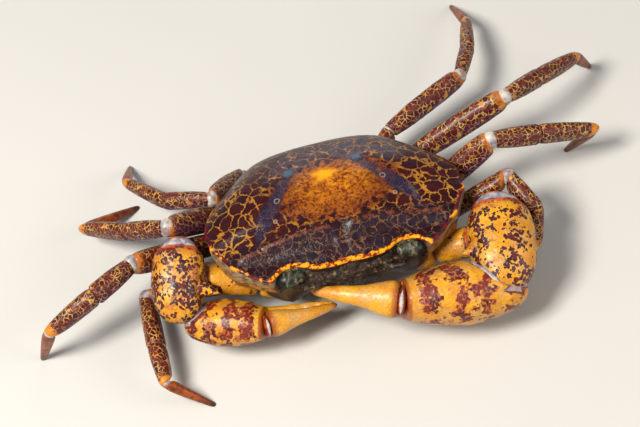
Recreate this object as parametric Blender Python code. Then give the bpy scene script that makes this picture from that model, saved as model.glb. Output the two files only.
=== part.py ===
"""Parathelphusa reticulata, a life-size still model of a freshwater crab. The crab faces -Y, its left
is +X, and the floor is z = 0. Sizes below are in millimetres; the scene is in metres."""

import math

import bmesh
import bpy
from mathutils import Matrix, Vector

MM = 0.001
GAP = 0.3
PITCH = math.radians(7.0)  # the front of the body is held up by this much
BODY_LIFT = 12.4  # height over the floor of the plane through the widest part of the carapace
CARAPACE_FLOOR = -3.8  # underside of the shell, in the body's own frame
STERNUM_FLOOR = -9.6
TIP_FLAT = 0.0

# Left half of the shell's edge from the outer orbital tooth back: x, y, z in the body's own frame.
SIDE_EDGE = [
    (10.4, -11.6, -0.9), (11.5, -10.9, -0.8), (12.7, -9.9, -0.7), (13.75, -8.9, -0.45),
    (14.85, -8.2, -0.2), (15.1, -7.5, -0.2), (15.65, -6.4, -0.1), (16.2, -5.4, 0.1),
    (16.85, -4.6, 0.4), (16.7, -3.8, 0.35), (16.85, -2.6, 0.25), (16.9, -1.2, 0.1),
    (16.6, 0.2, -0.1), (16.0, 1.7, -0.35), (15.1, 3.1, -0.6), (14.1, 4.5, -0.9),
    (13.1, 5.9, -1.25), (12.1, 7.3, -1.7), (11.1, 8.7, -2.2), (10.2, 9.9, -2.7), (9.3, 10.9, -3.1),
]
# Front edge from the midline to the outer orbital tooth: x, y, z.
FRONT_EDGE = [
    (0.0, -10.95, -1.0), (2.2, -11.15, -0.9), (4.2, -11.05, -0.8), (5.2, -10.75, -0.7), (5.9, -10.4, -0.6),
    (6.9, -10.05, -0.5), (8.1, -10.1, -0.5), (9.2, -10.6, -0.6), (10.4, -11.6, -0.9),
]
REAR_EDGE = [(0.0, 13.2, -3.7), (3.5, 12.9, -3.6), (6.5, 12.2, -3.4), (9.3, 10.9, -3.1)]
# Height of the shell along the midline: y, z.
MIDLINE = [
    (-10.95, -1.0), (-10.1, -0.5), (-8.8, 0.35), (-7.4, 1.15), (-6.6, 1.55), (-5.0, 2.05), (-2.0, 2.85),
    (1.0, 3.2), (4.0, 3.0), (6.5, 2.35), (8.5, 1.45), (10.3, -0.2), (11.8, -1.9), (13.2, -3.7),
]

# Joints of each limb from the body outwards, in the model's frame.
LIMBS = {
    "P2L": [(8.6, -4.3, 4.9), (13.0, -3.0, 5.4), (23.0, -3.0, 11.0), (25.2, -7.4, 8.8), (24.6, -9.6, 3.8),
            (19.6, -12.4, 0.2)],
    "P2R": [(-8.6, -4.4, 4.7), (-13.2, -3.2, 3.1), (-26.2, -3.0, 4.4), (-26.4, -11.4, 4.8),
            (-26.3, -16.7, 4.3), (-21.3, -18.7, 0.2)],
    "P3L": [(9.0, -0.2, 4.6), (13.2, 1.6, 5.2), (22.3, 2.1, 12.8), (29.0, 2.7, 10.8), (36.9, 3.7, 7.6),
            (34.3, 7.2, 0.2)],
    "P3R": [(-9.0, -0.2, 4.6), (-13.4, 3.0, 4.4), (-27.0, -1.6, 10.4), (-32.5, -5.4, 11.0),
            (-39.2, -7.2, 8.0), (-41.2, -5.2, 0.2)],
    "P4L": [(8.8, 4.0, 4.3), (12.4, 8.2, 5.4), (26.2, 8.9, 12.4), (32.0, 12.3, 10.6), (38.6, 16.8, 7.4),
            (41.8, 20.6, 0.2)],
    "P4R": [(-8.8, 4.0, 4.3), (-12.3, 6.9, 4.5), (-21.4, 1.1, 12.6), (-26.4, 5.0, 8.8), (-32.1, 10.6, 4.6),
            (-24.8, 15.4, 0.2)],
    "P5L": [(7.0, 7.7, 4.4), (11.0, 13.0, 6.2), (22.4, 17.8, 8.2), (25.1, 23.6, 6.8), (26.8, 30.5, 4.6),
            (26.5, 37.6, 0.2)],
    "P5R": [(-7.0, 7.7, 4.4), (-10.0, 12.6, 4.8), (-14.7, 6.5, 9.4), (-20.7, 9.3, 7.8), (-25.2, 16.3, 5.0),
            (-24.3, 22.6, 0.2)],
}
# Walking legs: half thickness, half height at the thickest section, before the leg's own scale.
LEG_SCALE = {"P2": 1.02, "P3": 1.05, "P4": 1.0, "P5": 0.9}
COXA = [(0.0, 0.5, 0.5), (0.3, 1.1, 1.2), (0.6, 1.3, 1.4), (0.85, 1.3, 1.4), (1.0, 1.1, 1.25)]
MERUS = [(0.0, 0.95, 1.15), (0.1, 1.1, 1.35), (0.35, 1.2, 1.6), (0.7, 1.22, 1.65), (0.93, 1.15, 1.5),
         (1.0, 0.95, 1.2)]
CARPUS = [(0.0, 0.85, 0.95), (0.15, 1.0, 1.15), (0.55, 1.15, 1.35), (0.9, 1.17, 1.38), (1.0, 1.08, 1.26)]
PROPODUS = [(0.0, 1.04, 1.22), (0.12, 1.12, 1.32), (0.5, 1.05, 1.25), (0.88, 0.86, 1.02), (1.0, 0.7, 0.84)]
DACTYLUS = [(0.0, 0.58, 0.68), (0.12, 0.7, 0.82), (0.45, 0.6, 0.7), (0.8, 0.42, 0.5), (1.0, 0.3, 0.34)]

# The two claw limbs, in the model's frame: root and end of the arm, the carpus from its upper end to the
# wrist, the tip of its spine, the palm from its base to the knuckle, and the tip of the moving finger.
CLAW = {
    "P1L": {
        "scale": 1.0, "dorsal": (-0.08, -0.61, 0.79), "arm": ((6.6, -8.2, 5.2), (18.6, -9.7, 8.7)),
        "carpus": ((20.4, -5.5, 11.6), (18.0, -18.7, 8.2)), "carpus_size": (4.0, 4.7, 3.5),
        "spine": (13.9, -13.1, 10.9), "palm": ((21.2, -17.0, 6.2), (5.5, -15.7, 7.8)), "tip": (-5.7, -12.0, 9.6),
    },
    "P1R": {
        "scale": 0.72, "dorsal": (-0.07, -0.80, 0.60), "arm": ((-6.6, -8.2, 5.0), (-19.0, -4.1, 7.8)),
        "carpus": ((-20.2, -0.7, 12.6), (-23.0, -10.4, 7.5)), "carpus_size": (3.4, 3.5, 2.9),
        "spine": (-16.9, -8.9, 9.6), "palm": ((-22.0, -9.0, 5.5), (-12.3, -12.6, 6.0)), "tip": (-2.6, -12.1, 5.4),
    },
}
# Fraction of the carpus's length, and the share of its full size there.
EGG = [(0.0, 0.28), (0.05, 0.52), (0.13, 0.75), (0.27, 0.94), (0.45, 1.0), (0.62, 0.99), (0.78, 0.88),
       (0.9, 0.68), (0.97, 0.42), (1.0, 0.26)]


# Colour, roughness and metallic value of each kind of sub-part.
FINISHES = {
    "back shell": ((0.075, 0.014, 0.02), 0.28, 0.0), "claw shell": ((0.58, 0.24, 0.02), 0.35, 0.0),
    "leg shell": ((0.14, 0.035, 0.02), 0.4, 0.0), "leg tip": ((0.36, 0.11, 0.03), 0.35, 0.0),
    "under shell": ((0.4, 0.25, 0.13), 0.5, 0.0), "mouth shell": ((0.04, 0.022, 0.024), 0.5, 0.0),
    "eye": ((0.03, 0.035, 0.03), 0.15, 0.0),
}


def clear_scene():
    for obj in list(bpy.data.objects):
        bpy.data.objects.remove(obj, do_unlink=True)


def body(x, y, z):
    """A point of the body's own frame, in the model's frame, in millimetres."""
    return Vector((x, y * math.cos(PITCH) + z * math.sin(PITCH),
                   z * math.cos(PITCH) - y * math.sin(PITCH) + BODY_LIFT))


def along(points, x):
    """Straight-line reading of (x, value, ...) rows at x."""
    for a, b in zip(points, points[1:]):
        if x <= b[0]:
            t = (x - a[0]) / (b[0] - a[0])
            return [p + (q - p) * t for p, q in zip(a[1:], b[1:])]
    return list(points[-1][1:])


def smooth_along(points, x):
    """Smooth (Catmull-Rom) reading of (x, value) rows at x."""
    last = len(points) - 2
    k = 0
    while k < last and x > points[k + 1][0]:
        k += 1
    x1, y1 = points[k]
    x2, y2 = points[k + 1]
    x0, y0 = points[k - 1] if k else (2 * x1 - x2, 2 * y1 - y2)
    x3, y3 = points[k + 2] if k < last else (2 * x2 - x1, 2 * y2 - y1)
    t = (x - x1) / (x2 - x1)
    m1 = (y2 - y0) / (x2 - x0) * (x2 - x1)
    m2 = (y3 - y1) / (x3 - x1) * (x2 - x1)
    return (y1 * (2 * t**3 - 3 * t**2 + 1) + m1 * (t**3 - 2 * t**2 + t)
            + y2 * (3 * t**2 - 2 * t**3) + m2 * (t**3 - t**2))


def new_object(name, points, faces, hidden=False):
    """One closed mesh, from points in millimetres of the model's frame."""
    mesh = bpy.data.meshes.new(name)
    mesh.from_pydata([tuple(p * MM) for p in points], [], faces)
    bm = bmesh.new()
    bm.from_mesh(mesh)
    bmesh.ops.remove_doubles(bm, verts=bm.verts, dist=1e-6)
    bmesh.ops.recalc_face_normals(bm, faces=bm.faces)
    bm.to_mesh(mesh)
    bm.free()
    for polygon in mesh.polygons:
        polygon.use_smooth = True
    obj = bpy.data.objects.new(name, mesh)
    bpy.context.scene.collection.objects.link(obj)
    if hidden:
        obj.hide_render = True
        obj.display_type = "WIRE"
    return obj


def tube(rings, close_start=True, close_end=True, pole=None):
    """Points and faces of a skin over rings of equal count, capped flat, or drawn to a pole at its end."""
    n = len(rings[0])
    points = [p for ring in rings for p in ring]
    faces = []
    for r in range(len(rings) - 1):
        for k in range(n):
            a, b = r * n + k, r * n + (k + 1) % n
            faces.append((a, b, b + n, a + n))
    if close_start:
        faces.append(tuple(reversed(range(n))))
    base = (len(rings) - 1) * n
    if pole is not None:
        points.append(pole)
        faces += [(base + k, base + (k + 1) % n, len(points) - 1) for k in range(n)]
    elif close_end:
        faces.append(tuple(range(base, base + n)))
    return points, faces


def oval(centre, axis, up, inner, outer, high, low, count, power=2.3):
    """A ring round centre. inner and outer are its half widths on either side, high and low its half
    heights."""
    side = axis.cross(up)
    ring = []
    for k in range(count):
        turn = 2 * math.pi * (k + 0.5) / count
        c, s = math.cos(turn), math.sin(turn)
        x = math.copysign(abs(c) ** (2 / power), c) * (outer if c > 0 else inner)
        y = math.copysign(abs(s) ** (2 / power), s) * (high if s > 0 else low)
        ring.append(centre + side * x + up * y)
    return ring


def joint_plane(points, k):
    """Normal of the plane in which the segments before and after joint k meet."""
    before = (points[k] - points[k - 1]).normalized() if k else None
    after = (points[k + 1] - points[k]).normalized() if k + 1 < len(points) else None
    if before is None or after is None:
        return before or after
    return (before + after).normalized()


def segment_rings(points, k, profile, up, count, start_gap=GAP, end_gap=GAP, power=2.3):
    """Rings of the segment from joint k to joint k + 1. profile rows: fraction, half width or
    (inner, outer), half height or (high, low)."""
    a, b = points[k], points[k + 1]
    axis = (b - a).normalized()
    up = (up - axis * up.dot(axis)).normalized()
    start, end = joint_plane(points, k), joint_plane(points, k + 1)
    a = a + axis * (start_gap / 2 / axis.dot(start))
    b = b - axis * (end_gap / 2 / axis.dot(end))
    length = (b - a).length
    widest = max(max(w) if isinstance(w, tuple) else w for _, w, _ in profile)
    reach_a = min(length, 1.3 * widest * math.tan(math.acos(min(1.0, axis.dot(start)))) + 0.01)
    reach_b = min(length, 1.3 * widest * math.tan(math.acos(min(1.0, axis.dot(end)))) + 0.01)
    rings = []
    for t, wide, tall in profile:
        inner, outer = wide if isinstance(wide, tuple) else (wide, wide)
        high, low = tall if isinstance(tall, tuple) else (tall, tall)
        ring = oval(a + (b - a) * t, axis, up, inner, outer, high, low, count, power=power)
        slid = []
        for p in ring:
            off = p - a - (b - a) * t
            slide = -off.dot(start) / axis.dot(start) * max(0.0, 1.0 - t * length / reach_a)
            slide -= off.dot(end) / axis.dot(end) * max(0.0, 1.0 - (1.0 - t) * length / reach_b)
            slid.append(p + axis * slide)
        rings.append(slid)
    return rings


def scaled(profile, s):
    rows = []
    for t, wide, tall in profile:
        wide = tuple(v * s for v in wide) if isinstance(wide, tuple) else wide * s
        tall = tuple(v * s for v in tall) if isinstance(tall, tuple) else tall * s
        rows.append((t, wide, tall))
    return rows


def cut(obj, cutter):
    modifier = obj.modifiers.new("Clear of " + cutter.name, "BOOLEAN")
    modifier.operation = "DIFFERENCE"
    modifier.solver = "EXACT"
    modifier.object = cutter


def join(obj, other):
    modifier = obj.modifiers.new("With " + other.name, "BOOLEAN")
    modifier.operation = "UNION"
    modifier.solver = "EXACT"
    modifier.object = other


def shell_height(u, y, edge_z):
    """Height of the shell at share u of its half width and at y, over an edge at edge_z."""
    mid = smooth_along(MIDLINE, min(max(y, MIDLINE[0][0]), MIDLINE[-1][0]))
    return edge_z + (mid - edge_z) * (1 - abs(u) ** 2.6)


def shell_relief(x, y):
    """Crest, grooves and pits of the shell's top, in millimetres."""
    h = 0.0
    ax = abs(x)
    crest = -6.9 + 0.012 * (ax - 3.0) ** 2 * (-0.6 if ax > 3 else 0.4)
    fade = min(1.0, max(0.0, (ax - 0.7) / 0.8)) * min(1.0, max(0.0, (14.6 - ax) / 1.5))
    h += 0.32 * fade * math.exp(-(((y - crest) / 0.75) ** 2))
    h -= 0.25 * fade * math.exp(-(((y - crest + 1.7) / 1.1) ** 2))
    groove = along([(4.4, 2.9), (5.5, 1.3), (7.0, -1.2), (8.9, -3.2), (11.0, -5.6)], min(max(ax, 4.4), 11.0))[0]
    near = min(1.0, max(0.0, (ax - 3.6) / 1.0)) * min(1.0, max(0.0, (11.6 - ax) / 1.5))
    h -= 0.38 * near * math.exp(-(((y - groove) / 1.2) ** 2))
    h -= 0.25 * math.exp(-((ax - 4.5) ** 2 + (y - 2.9) ** 2) / 0.9)
    h -= 0.22 * math.exp(-((x / 0.7) ** 2)) * math.exp(-(((y + 8.2) / 2.0) ** 2))
    h += 0.3 * math.exp(-(((ax - 4.4) / 3.2) ** 2) - ((y + 2.0) / 3.4) ** 2)
    h += 0.25 * math.exp(-(((ax - 10.5) / 3.5) ** 2) - ((y - 1.5) / 4.0) ** 2)
    return h


def carapace_grid():
    """The shell's top as rows of points in the body's frame, from the front edge to the rear one."""
    columns = 36
    rows = []
    y_first, y_last = SIDE_EDGE[0][1], SIDE_EDGE[-1][1]
    sides = [SIDE_EDGE[0]]
    for a, b in zip(SIDE_EDGE, SIDE_EDGE[1:]):
        steps = 2 if b[1] - a[1] > 1.25 and a[1] < 4 else 1
        for s in range(1, steps + 1):
            sides.append(tuple(p + (q - p) * s / steps for p, q in zip(a, b)))
    for k, (sx, sy, sz) in enumerate(sides):
        v = (sy - y_first) / (y_last - y_first)
        near = sides[max(0, k - 3):k + 4] if 3 <= k < len(sides) - 3 else [sides[k]]
        plain = sum(p[0] for p in near) / len(near)
        row = []
        for c in range(columns + 1):
            u = 2.0 * c / columns - 1.0
            au = abs(u)
            fx, rx = au * FRONT_EDGE[-1][0], au * REAR_EDGE[-1][0]
            fy, fz = along(FRONT_EDGE, fx)
            ry, rz = along(REAR_EDGE, rx)
            w = v**0.8
            front_pull = (1 - v) ** 2.0
            rear_pull = w**1.4
            x = (plain + (sx - plain) * max(0.0, au * 7 - 6) ** 1.5) * au
            y = sy + (fy - y_first) * front_pull + (ry - y_last) * rear_pull
            if v == 0.0:
                z = fz
            elif v == 1.0:
                z = rz
            else:
                z = shell_height(u, y, sz)
                inside = min(1.0, (1 - au) * 9) * min(1.0, v * 12) * min(1.0, (1 - v) * 8)
                z += shell_relief(math.copysign(x, u), y) * inside
            row.append((math.copysign(x, u), y, z))
        rows.append(row)
    return rows


def rim_of(rows):
    """The edge of the grid as one loop."""
    front = rows[0]
    right = [row[-1] for row in rows[1:-1]]
    rear = list(reversed(rows[-1]))
    left = [row[0] for row in reversed(rows[1:-1])]
    return front + right + rear + left


def drawn_in(point, inset, z):
    """A point of the rim moved towards the middle of the shell, at height z."""
    x, y = point[0], point[1] - 1.0
    r = math.hypot(x, y)
    k = (r - inset) / r
    return (x * k, y * k + 1.0, z)


def in_orbit(point):
    """How far a rim point lies in the eye's notch, from 0 to 1."""
    x = abs(point[0])
    if point[1] > -9.0:
        return 0.0
    return max(0.0, min(1.0, (x - 5.0) / 1.4, (10.5 - x) / 1.3))


def wall_rings(rim):
    """Rings of the shell's side wall, from the rim down to its flat underside."""
    rings = []
    for share, side, front, rear, orbit in (
        (0.1, -0.1, -0.1, -0.06, -0.1), (0.28, 0.25, 0.15, 0.1, 0.5), (0.52, 1.4, 0.4, 0.35, 0.75),
        (0.78, 2.9, 0.6, 0.6, 0.3), (0.91, 3.7, 0.7, 0.75, -0.7), (1.0, 4.3, 0.8, 0.9, -0.6),
    ):
        ring = []
        for p in rim:
            ahead = min(1.0, max(0.0, (-p[1] - 8.0) / 3.0))
            behind = min(1.0, max(0.0, (p[1] - 8.0) / 3.0))
            full = side * (1 - 0.9 * min(1.0, max(0.0, (0.5 - p[1]) / 6.0)))
            inset = full + (front - full) * ahead + (rear - full) * behind
            inset += (orbit - inset) * in_orbit(p)
            z = p[2] + (CARAPACE_FLOOR - p[2]) * share
            ring.append(drawn_in(p, inset, z))
        rings.append(ring)
    return rings


def carapace():
    rows = carapace_grid()
    rim = rim_of(rows)
    width = len(rows[0])
    points = [p for row in rows for p in row]
    faces = []
    for r in range(len(rows) - 1):
        for c in range(width - 1):
            a = r * width + c
            faces.append((a, a + 1, a + width + 1, a + width))
    loops = [rim] + wall_rings(rim)
    index = []
    for loop in loops:
        start = len(points)
        points += loop
        index.append(range(start, start + len(loop)))
    n = len(rim)
    for upper, lower in zip(index, index[1:]):
        for k in range(n):
            m = (k + 1) % n
            faces.append((upper[k], upper[m], lower[m], lower[k]))
    faces.append(tuple(index[-1]))
    return new_object("carapace", [body(*p) for p in points], faces)


def thorax_rings(grow=0.0):
    """The trunk under the shell. grow moves every side out, for a cutter that leaves a gap."""
    rim = rim_of(carapace_grid())[::3]
    rings = []
    top = CARAPACE_FLOOR - GAP + (3.0 * grow)
    for z, inset, nose in ((top, 4.6, 1.3), (-5.4, 5.4, 1.9), (-6.8, 5.9, 2.5), (-8.4, 6.6, 3.6),
                           (STERNUM_FLOOR - grow, 7.9, 5.2)):
        ring = []
        for p in rim:
            ahead = min(1.0, max(0.0, (-p[1] - 6.0) / 4.0))
            behind = min(1.0, max(0.0, (p[1] - 7.0) / 4.0))
            back = nose * 0.9
            amount = inset + (nose - inset) * ahead + (back - inset) * behind
            amount -= 1.2 * in_orbit(p)
            ring.append(body(*drawn_in(p, amount - grow, z)))
        rings.append(ring)
    return rings


def thorax():
    points, faces = tube(thorax_rings())
    return new_object("thorax", points, faces)


def plate(name, path, widths, thick, centre_x=0.0, lean=0.0, hidden=False):
    """A curved plate: path rows are (y, z) of its inner face in the body's frame, widths the half
    widths along it."""
    count = len(path)
    rings = []
    for k in range(count):
        y, z = path[k]
        y0, z0 = path[max(0, k - 1)]
        y1, z1 = path[min(count - 1, k + 1)]
        length = math.hypot(y1 - y0, z1 - z0)
        ny, nz = (z0 - z1) / length, (y1 - y0) / length
        w = widths[k]
        cx = centre_x + lean * k
        ring = []
        for sx, depth in ((-1.0, 0.25), (-0.8, 0.0), (0.0, 0.0), (0.8, 0.0), (1.0, 0.25), (0.85, 0.8),
                          (0.0, 1.0), (-0.85, 0.8)):
            ring.append(body(cx + sx * w, y + ny * thick * depth, z + nz * thick * depth))
        rings.append(ring)
    points, faces = tube(rings)
    return new_object(name, points, faces, hidden)


def trunk_profile(front):
    """(y, z) of the trunk's midline, grown by the gap, from its top down its front or its rear."""
    rows = []
    for ring in thorax_rings(GAP + 0.05):
        flat = [body_back(p) for p in ring]
        middle = [p for p in flat if abs(p.x) < 1.5]
        p = min(middle, key=lambda q: q.y) if front else max(middle, key=lambda q: q.y)
        rows.append((p.y, p.z))
    return rows


def body_back(p):
    """The reverse of body()."""
    y, z = p.y, p.z - BODY_LIFT
    return Vector((p.x, y * math.cos(PITCH) - z * math.sin(PITCH), z * math.cos(PITCH) + y * math.sin(PITCH)))


def abdomen():
    rear = trunk_profile(front=False)
    floor = rear[-1][1]
    path = [(rear[0][0], -4.9)] + rear[1:] + [(4.0, floor), (1.5, floor), (-1.0, floor), (-3.0, floor)]
    widths = [4.4, 4.9, 4.9, 4.4, 3.2, 2.4, 2.1, 1.9, 0.8]
    return plate("abdomen", path, widths, 0.75)


def maxillipeds():
    front = trunk_profile(front=True)
    path = [(front[1][0], -5.0)] + front[1:]
    for name, s in (("maxilliped_L", 1.0), ("maxilliped_R", -1.0)):
        plate(name, path, [1.4, 1.75, 1.85, 1.7, 1.1], -0.8, centre_x=s * 2.05)


def eyes():
    for name, s in (("eye_L", 1.0), ("eye_R", -1.0)):
        rings = []
        a, b = body(s * 6.3, -10.8, -2.05), body(s * 9.5, -11.15, -1.95)
        axis = (b - a).normalized()
        up = Vector((0.0, -0.3, 1.0))
        up = (up - axis * up.dot(axis)).normalized()
        for t, r in ((0.0, 0.35), (0.08, 0.6), (0.3, 0.75), (0.5, 0.98), (0.7, 1.02), (0.88, 0.76), (1.0, 0.28)):
            rings.append(oval(a + (b - a) * t, axis, up, r, r, r, r, 12, power=2.0))
        points, faces = tube(rings)
        new_object(name, points, faces)


def antennae():
    for name, s in (("antenna_L", 1.0), ("antenna_R", -1.0)):
        path = [body(s * 4.2, -11.6, -2.6), body(s * 4.8, -12.3, -2.6), body(s * 5.6, -12.7, -2.4),
                body(s * 6.7, -12.9, -2.2)]
        rings = []
        for k, r in enumerate((0.45, 0.38, 0.3, 0.26)):
            axis = joint_plane(path, k)
            up = Vector((0.0, 0.0, 1.0))
            up = (up - axis * up.dot(axis)).normalized()
            rings.append(oval(path[k], axis, up, r, r, r, r, 6, power=2.0))
        points, faces = tube(rings)
        new_object(name, points, faces)


def outward_up(points, k):
    """Dorsal direction of a leg segment: up, and outwards where the segment drops."""
    out = points[-1] - points[0]
    out.z = 0.0
    return Vector((0.0, 0.0, 1.0)) + out.normalized() * 0.7


def flat_foot(obj):
    """Cuts the object level with the floor, so that it stands on a small flat."""
    bm = bmesh.new()
    bm.from_mesh(obj.data)
    bmesh.ops.bisect_plane(bm, geom=bm.verts[:] + bm.edges[:] + bm.faces[:], plane_co=(0, 0, TIP_FLAT),
                           plane_no=(0, 0, -1), clear_outer=True)
    open_edges = [edge for edge in bm.edges if edge.is_boundary]
    bmesh.ops.holes_fill(bm, edges=open_edges)
    bmesh.ops.recalc_face_normals(bm, faces=bm.faces)
    bm.to_mesh(obj.data)
    bm.free()


def walking_leg(name, cutters):
    points = [Vector(p) for p in LIMBS[name]]
    s = LEG_SCALE[name[:2]]
    up = outward_up(points, 0)
    parts = (("coxa", COXA), ("merus", MERUS), ("carpus", CARPUS), ("propodus", PROPODUS))
    for k, (part, profile) in enumerate(parts):
        rings = segment_rings(points, k, scaled(profile, s), up, 10)
        shape = tube(rings)
        obj = new_object(name + "_" + part, *shape)
        if part == "coxa":
            for cutter in cutters:
                cut(obj, cutter)
    rings = segment_rings(points, 4, scaled(DACTYLUS, s), up, 8, end_gap=0.0)
    axis = (points[5] - points[4]).normalized()
    obj = new_object(name + "_dactylus", *tube(rings, pole=points[5] + axis * 0.35))
    flat_foot(obj)


def claw_arm(name, cutters):
    """Coxa with ischium, and merus, of a claw limb."""
    root, end = [Vector(p) for p in CLAW[name]["arm"]]
    s = 0.75 + 0.25 * CLAW[name]["scale"]
    arm = [root, root + (end - root) * 0.4, end]
    up = Vector(CLAW[name]["dorsal"])
    coxa = scaled([(0.0, 0.5, 0.5), (0.4, 1.3, 1.4), (0.7, 1.6, 1.75), (0.85, 1.6, 1.75), (1.0, 1.35, 1.5)], s)
    obj = new_object(name + "_coxa", *tube(segment_rings(arm, 0, coxa, up, 12)))
    for cutter in cutters:
        cut(obj, cutter)
    merus = scaled([(0.0, 1.3, 1.4), (0.12, 1.65, 1.8), (0.45, 1.95, 2.15), (0.85, 2.15, 2.35), (1.0, 1.8, 2.0)], s)
    obj = new_object(name + "_merus", *tube(segment_rings(arm, 1, merus, up, 14, end_gap=0.0)))
    grown = [(t, w + GAP, h + GAP) for t, w, h in merus]
    hollow = new_object("clear_of_" + name, *tube(segment_rings(arm, 1, grown, up, 14, start_gap=-GAP)), hidden=True)
    cut(bpy.data.objects["carapace"], hollow)
    cut(bpy.data.objects["thorax"], hollow)
    return obj


def carpus_rings(name, grow=0.0):
    """The egg-shaped carpus of a claw. grow moves its surface out, for a cutter that leaves a gap."""
    claw = CLAW[name]
    a, b = [Vector(p) for p in claw["carpus"]]
    inner, outer, tall = claw["carpus_size"]
    axis = (b - a).normalized()
    up = Vector(claw["dorsal"])
    up = (up - axis * up.dot(axis)).normalized()
    if axis.cross(up).x * a.x < 0:
        inner, outer = outer, inner
    a, b = a - axis * grow, b + axis * grow
    rings = []
    for t, share in EGG:
        size = [v * share + grow for v in (inner, outer, tall, tall)]
        rings.append(oval(a + (b - a) * t, axis, up, *size, 18, power=2.2))
    return rings


def claw_carpus(name):
    obj = new_object(name + "_carpus", *tube(carpus_rings(name)))
    join(obj, new_object("spine_" + name, *spine_points(name), hidden=True))


def spine_points(name):
    """The spine on the inner corner of a claw's carpus, as a cone."""
    a, b = [Vector(p) for p in CLAW[name]["carpus"]]
    s = 0.72 + 0.28 * CLAW[name]["scale"]
    tip = Vector(CLAW[name]["spine"])
    middle = a + (b - a) * 0.52
    foot = middle + (tip - middle) * 0.3
    axis = (tip - foot).normalized()
    up = Vector(CLAW[name]["dorsal"])
    up = (up - axis * up.dot(axis)).normalized()
    rings = []
    for t, r in ((0.0, 1.5), (0.35, 1.2), (0.68, 0.66)):
        rings.append(oval(foot + (tip - foot) * t, axis, up, r * s, r * s, r * s, r * s, 8, power=2.0))
    return tube(rings, pole=tip)


def claw_hand(name):
    """The palm with its fixed finger, and the moving finger. Gives back the palm."""
    claw = CLAW[name]
    s = claw["scale"]
    base, knuckle = [Vector(p) for p in claw["palm"]]
    tip = Vector(claw["tip"])
    axis = (knuckle - base).normalized()
    up = Vector(claw["dorsal"])
    up = (up - axis * up.dot(axis)).normalized()
    profile = scaled([(0.0, 1.3, 1.9), (0.04, 2.0, 2.9), (0.12, 2.8, 3.8), (0.28, 3.6, 4.5), (0.5, 4.1, 4.9),
                      (0.78, 3.6, 4.7), (0.93, 2.95, 4.35), (1.0, 2.6, 4.1)], s)
    rings = segment_rings([base, knuckle], 0, profile, up, 16, start_gap=0.0, end_gap=0.0)
    finger = (tip - knuckle).normalized()
    low = knuckle - up * 2.45 * s
    end = tip - up * 1.1 * s - finger * 0.6 * s
    for t, wide, tall, bow in ((0.02, 2.2, 1.55, 0.0), (0.2, 1.75, 1.35, 0.3), (0.4, 1.4, 1.1, 0.45),
                               (0.5, 1.25, 0.8, 0.5), (0.6, 1.15, 0.95, 0.45), (0.7, 1.0, 0.65, 0.35),
                               (0.8, 0.85, 0.75, 0.25), (1.0, 0.35, 0.3, 0.0)):
        centre = low + (end - low) * t - up * bow * s
        rings.append(oval(centre, (end - low).normalized(), up, wide * s, wide * s, tall * s, 1.15 * tall * s, 16))
    palm = new_object(name + "_palm", *tube(rings))
    high = knuckle + up * 1.75 * s
    direction = (tip - high).normalized()
    start = high + direction * GAP * (3.8 - 1.2 * s)
    lift = (up - direction * up.dot(direction)).normalized()
    rings = []
    for t, wide, high_side, low_side, bow in ((0.0, 2.2, 2.1, 2.05, 0.0), (0.08, 2.4, 2.3, 2.15, 0.05),
                                              (0.25, 1.95, 1.9, 1.7, 0.25), (0.4, 1.45, 1.4, 1.0, 0.4),
                                              (0.5, 1.25, 1.25, 1.15, 0.45), (0.6, 1.12, 1.1, 0.75, 0.45),
                                              (0.72, 0.95, 0.95, 0.85, 0.35), (0.86, 0.7, 0.7, 0.5, 0.2),
                                              (1.0, 0.3, 0.3, 0.3, 0.0)):
        centre = start + (tip - start) * t + lift * bow * s
        rings.append(oval(centre, direction, lift, wide * s, wide * s, high_side * s, low_side * s, 14))
    new_object(name + "_dactylus", *tube(rings))
    return palm


def claw(name, cutters):
    merus = claw_arm(name, cutters)
    claw_carpus(name)
    palm = claw_hand(name)
    hollow = new_object("clear_of_carpus_" + name, *tube(carpus_rings(name, GAP)), hidden=True)
    cut(merus, hollow)
    cut(palm, hollow)


def kind_of(name):
    """Which finish a sub-part has."""
    if name == "carapace":
        return "back shell"
    if name.startswith("eye"):
        return "eye"
    if name.startswith(("antenna", "maxilliped")):
        return "mouth shell"
    if name in ("thorax", "abdomen"):
        return "under shell"
    if name.startswith("P1"):
        return "claw shell"
    return "leg tip" if name.endswith("dactylus") else "leg shell"


def give_materials():
    for obj in bpy.data.objects:
        if obj.hide_render:
            continue
        colour, roughness, metallic = FINISHES[kind_of(obj.name)]
        material = bpy.data.materials.new(obj.name)
        material.use_nodes = True
        shader = material.node_tree.nodes["Principled BSDF"]
        shader.inputs["Base Color"].default_value = (*colour, 1.0)
        shader.inputs["Roughness"].default_value = roughness
        shader.inputs["Metallic"].default_value = metallic
        obj.data.materials.append(material)


def centre_on_floor():
    """Moves every mesh so that the origin is the middle of the object's footprint."""
    shown = [obj for obj in bpy.data.objects if not obj.hide_render]
    corners = [vertex.co for obj in shown for vertex in obj.data.vertices]
    x = (min(c.x for c in corners) + max(c.x for c in corners)) / 2
    y = (min(c.y for c in corners) + max(c.y for c in corners)) / 2
    for obj in bpy.data.objects:
        obj.data.transform(Matrix.Translation((-x, -y, 0.0)))


def main():
    clear_scene()
    carapace()
    thorax()
    abdomen()
    maxillipeds()
    eyes()
    antennae()
    cutter = new_object("clear_of_thorax", *tube(thorax_rings(GAP)), hidden=True)
    for leg in ("P2", "P3", "P4", "P5"):
        for side in ("L", "R"):
            walking_leg(leg + side, [cutter])
    for name in ("P1L", "P1R"):
        claw(name, [cutter])
    centre_on_floor()
    give_materials()


main()
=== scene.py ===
"""The looks of a reticulated freshwater crab, a life-size still model. The crab faces -Y, its left is +X
and the floor is z = 0. Sizes are in millimetres and the scene is in metres."""

import math

import bmesh
import bpy
from mathutils import Matrix, Quaternion, Vector, noise
from mathutils.kdtree import KDTree

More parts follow.
